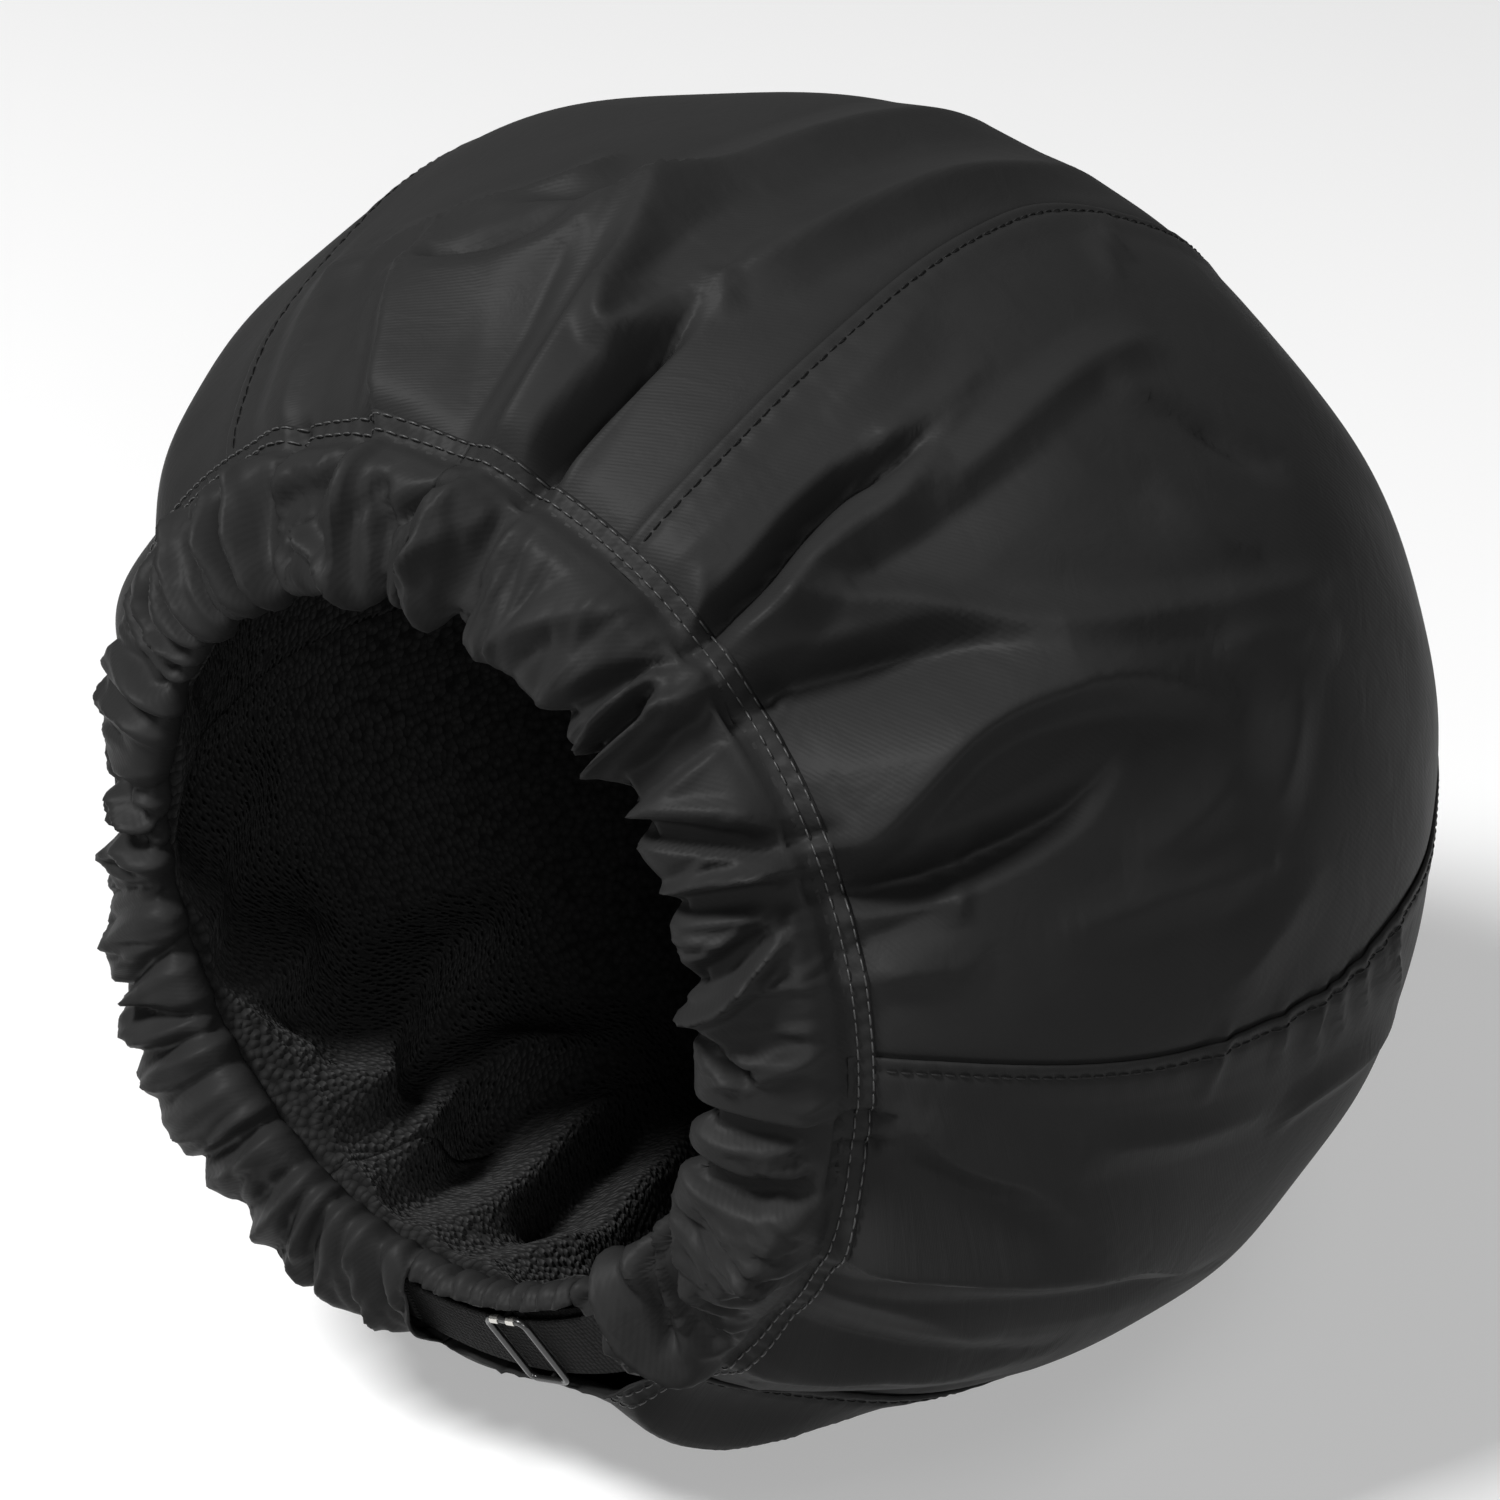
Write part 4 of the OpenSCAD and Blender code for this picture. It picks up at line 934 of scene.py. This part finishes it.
def ringStitches():
    starts, stops = [], []
    turnStep = math.degrees(stitching["pitch"] / ringR)
    long = turnStep * stitching["length"] / stitching["pitch"]
    for row, w in enumerate(stitching["bandRows"]):
        phi = np.arange(0, 360 - turnStep / 2, turnStep) + row * turnStep / 2
        for bucket, at in ((starts, phi), (stops, phi + long)):
            h = shellHeight(at, w) + casing["lift"] + stitching["bandLift"]
            bucket.append(outsidePoint(at, w, h))
    starts, stops = np.concatenate(starts), np.concatenate(stops)
    ups = starts - np.array([0, 0, centreZ])
    # the band's dashes take the thread whose pale colour is a painted glint
    piece = stitchTubes("band_seam_stitches", starts, stops, ups, paintedGlintThread)
    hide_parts("band_topstitch")
    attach(piece, "cap")


for g in range(1, cap["goreCount"] + 1):
    seamStitches(g)
ringStitches()
print("stitches made")

# webbing: flat strips round the band, inside the tunnel
webbing = {
    "elasticW": 20.0, "strapW": 18.0, "thick": 1.0, "middle": 16.8, "midR": 94.66,
    "ringLevel": 0.525, "strapLevel": 2.025, "returnLevel": -0.975, "turnR": 1.5,
    "sliderAt": -73.99, "anchorAt": -53.11, "elasticFrom": -47.0, "elasticTo": 266.8,
    "strapPast": 10, "barGap": 1.7, "loopR": 1.15, "acrossPoints": 13, "edgePoints": 7, "turnPoints": 14,
}


def degreesOf(length):
    return math.degrees(length / webbing["midR"])


def stripTube(name, path, width, material):
    # path is a list of (phi, level, slope of the level along the strip in radians)
    half, edge = width / 2, webbing["thick"] / 2
    across = np.linspace(-half + edge, half - edge, webbing["acrossPoints"])
    edgeTurn = np.linspace(0, math.pi, webbing["edgePoints"])[1:-1]
    outline = [(x, edge) for x in across]
    outline += [(half - edge + edge * math.sin(t), edge * math.cos(t)) for t in edgeTurn]
    outline += [(x, -edge) for x in across[::-1]]
    outline += [(-half + edge - edge * math.sin(t), -edge * math.cos(t)) for t in edgeTurn]
    outline = np.array(outline)
    rows, plan = [], []
    run = 0.0
    for i, (phi, level, lean) in enumerate(path):
        if i:
            before = path[i - 1]
            run += math.hypot(math.radians(phi - before[0]) * webbing["midR"], level - before[1])
        shift = phi - np.degrees(np.sin(lean) * outline[:, 1] / webbing["midR"])
        rows.append(bandPoint(shift, webbing["middle"] + outline[:, 0], level + np.cos(lean) * outline[:, 1]))
        over = outline[:, 0] + 3 * outline[:, 1]  # keeps the two faces apart on the plan
        plan.append(np.stack([np.full(len(outline), run), over], -1) / planUnit)
    points = np.array(rows)
    count, sides = points.shape[:2]
    faces = [tuple(f) for f in gridFaces(count, sides, loop=True)]
    faces += [tuple(range(sides)), tuple(range(count * sides - 1, (count - 1) * sides - 1, -1))]
    mesh = fillMesh(name, points.reshape(-1, 3), faces, np.array(plan).reshape(-1, 2))
    return newObject(name, mesh, material)


def evenPath(phiFrom, phiTo, level, step=1.0):
    count = max(2, int(math.radians(abs(phiTo - phiFrom)) * webbing["midR"] / step))
    return [(phi, level, 0.0) for phi in np.linspace(phiFrom, phiTo, count)]


def dressStrip(node):
    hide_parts(node)


def loopPath(at, level, radius, steps=28):
    turn = np.linspace(0, 2 * math.pi, steps)
    return [(at + degreesOf(radius * math.sin(t)), level + radius * math.cos(t), -t) for t in turn]


elasticPath = evenPath(webbing["elasticFrom"], webbing["elasticTo"], webbing["ringLevel"])
bandElastic = stripTube("band_elastic_webbing", elasticPath, webbing["elasticW"], elastic)
dressStrip("band_elastic")
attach(bandElastic, "cap")

strapFrom = cap["windowFrom"] - degreesOf(webbing["strapPast"])
strapPath = evenPath(strapFrom, webbing["anchorAt"], webbing["strapLevel"])
bend = np.linspace(0, math.pi, webbing["turnPoints"])[1:]
strapPath += [(webbing["anchorAt"] + degreesOf(webbing["turnR"] * math.sin(t)),
               webbing["ringLevel"] + webbing["turnR"] * math.cos(t), -t) for t in bend]
strap = stripTube("nape_strap_webbing", strapPath, webbing["strapW"], elastic)
dressStrip("nape_strap")
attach(strap, "cap")

returnFrom = webbing["sliderAt"] + degreesOf(webbing["barGap"])
returnPath = evenPath(returnFrom, webbing["anchorAt"], webbing["returnLevel"])
strapReturn = stripTube("strap_return_webbing", returnPath, webbing["strapW"], elastic)
dressStrip("strap_return")
ends = [bandPoint(np.array(at), webbing["middle"], webbing["returnLevel"]) * mm
        for at in (webbing["anchorAt"], returnFrom)]
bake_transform(strapReturn)

barLoop = loopPath(webbing["sliderAt"], webbing["returnLevel"], webbing["loopR"])
endLoop = stripTube("strap_end_loop_webbing", barLoop, webbing["strapW"], elastic)
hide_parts("strap_end_loop")  # 7 mm of strap, too short for a sheet of its own
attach(endLoop, "slider")

# bartack: a close zigzag across the strap where it is sewn on the band elastic
bartack = {"stitches": 20, "past": 5, "half": 1.25, "width": 13, "lift": 0.15, "above": 9.0}
zig = np.arange(bartack["stitches"] + 1)
tackPhi = cap["windowFrom"] - degreesOf(bartack["past"]) + degreesOf(bartack["half"]) * (-1.0) ** zig
tackS = webbing["middle"] + bartack["width"] * (zig / bartack["stitches"] - 0.5)
tack = bandPoint(tackPhi, tackS, webbing["strapLevel"] + webbing["thick"] / 2 + bartack["lift"])
tackUp = bandPoint(tackPhi[0], tackS[0], bartack["above"]) - tack[0]
tackPiece = stitchTubes("strap_bartack_stitches", tack[:-1], tack[1:],
                        np.broadcast_to(tackUp, (bartack["stitches"], 3)), thread)
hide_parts("strap_bartack")
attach(tackPiece, "cap")
print("webbing made")

# wire pieces keep their solids and take their finishes
wirePieces = {"slider_frame": enamel, "slider_bar": enamel, "anchor_ring": enamel, "slider_tips": nickel}
for node, finish in wirePieces.items():
    solid = frame["nodes"][node]
    solid.data.materials.clear()
    solid.data.materials.append(finish)

# floor, backdrop, lights and camera
studio = {
    "aim": (0.0, 0.0, 0.142),
    "cameraTurn": (40.0, 26.3),
    "cameraAway": 1.125,
    "lens": 117.4,
    "sensor": 36,
    "shift": (-25 / 1500, 7 / 1500),  # pixels, over the frame's width
    "key": {"turn": (-20, 54), "away": 3.0, "size": 0.7, "power": 108.0},
    "side": {"turn": (46, 20), "away": 3.0, "size": 0.9, "power": 26.0},
    "fill": {"turn": (66, 56), "away": 3.0, "size": 0.9, "power": 10.0},
    "ambient": 0.06,
    "wall": 0.2,
    "floorR": 1250.0,
    "floorSides": 64,
    "floorSeen": "#d8d8d8",
    "floorBounce": "#606060",
    "floorGlow": 0.32,
}


def fromAim(turn, away):
    a, e = math.radians(turn[0]), math.radians(turn[1])
    x, y, z = studio["aim"]
    flat = away * math.cos(e)
    return (x + flat * math.sin(a), y - flat * math.cos(a), z + away * math.sin(e))


def aimAt(thing, place):
    thing.location = place
    way = bpy.context.scene.cursor.location.copy()
    way[:] = [a - p for a, p in zip(studio["aim"], place)]
    thing.rotation_euler = way.to_track_quat("-Z", "Y").to_euler()


def addSoftbox(name, look):
    lamp = bpy.data.lights.new(name, "AREA")
    lamp.shape = "SQUARE"
    lamp.size = look["size"]
    lamp.energy = look["power"]
    box = bpy.data.objects.new(name, lamp)
    bpy.context.scene.collection.objects.link(box)
    aimAt(box, fromAim(look["turn"], look["away"]))


def seenDirectly(tree):
    path = addNode(tree, "LightPath")
    either = addNode(tree, "Math", {"operation": "MAXIMUM"},
                     {0: path.outputs["Is Camera Ray"], 1: path.outputs["Is Glossy Ray"]})
    return addNode(tree, "Math", {"operation": "MAXIMUM"},
                   {0: either.outputs[0], 1: path.outputs["Is Transmission Ray"]}).outputs[0]


def makeFloor():
    turn = np.linspace(0, 2 * math.pi, studio["floorSides"], endpoint=False)
    corners = np.stack([studio["floorR"] * np.cos(turn), studio["floorR"] * np.sin(turn), 0 * turn], -1)
    material, tree, shader = newMaterial("paleStudioPaper")
    seen = seenDirectly(tree)
    tone = addNode(tree, "Mix", {"data_type": "RGBA", 6: hexLinear(studio["floorBounce"]),
                                 7: hexLinear(studio["floorSeen"])}, {0: seen})
    glow = addNode(tree, "MapRange", {"To Max": studio["floorGlow"]}, {"Value": seen})
    setShader(tree, shader, {"Base Color": tone.outputs[2], "Emission Strength": glow.outputs[0]},
              {"Roughness": 1.0, "Specular IOR Level": 0.0, "Emission Color": (1, 1, 1, 1)})
    mesh = fillMesh("studio_floor", corners, [tuple(range(studio["floorSides"]))])
    floor = newObject("studio_floor", mesh, material)


def makeWorld():
    world = bpy.data.worlds.new("softStudio")
    bpy.context.scene.world = world
    world.use_nodes = True
    tree = world.node_tree
    tree.nodes.clear()
    # dim room light, with a grey wall to be seen over the paper's far edge
    strength = addNode(tree, "MapRange", {"To Min": studio["ambient"], "To Max": studio["wall"]},
                       {"Value": seenDirectly(tree)})
    sky = addNode(tree, "Background", {"Color": (1, 1, 1, 1)}, {"Strength": strength.outputs[0]})
    addNode(tree, "OutputWorld", {}, {"Surface": sky.outputs[0]})


def makeCamera():
    lens = bpy.data.cameras.new("photoCamera")
    lens.lens = studio["lens"]
    lens.sensor_width = studio["sensor"]
    lens.shift_x, lens.shift_y = studio["shift"]
    camera = bpy.data.objects.new("photoCamera", lens)
    bpy.context.scene.collection.objects.link(camera)
    aimAt(camera, fromAim(studio["cameraTurn"], studio["cameraAway"]))
    bpy.context.scene.camera = camera


makeFloor()
makeWorld()
for lamp in ("key", "side", "fill"):
    addSoftbox(f"{lamp}Softbox", studio[lamp])
makeCamera()
bpy.context.scene.view_settings.view_transform = "Standard"
print("studio set")
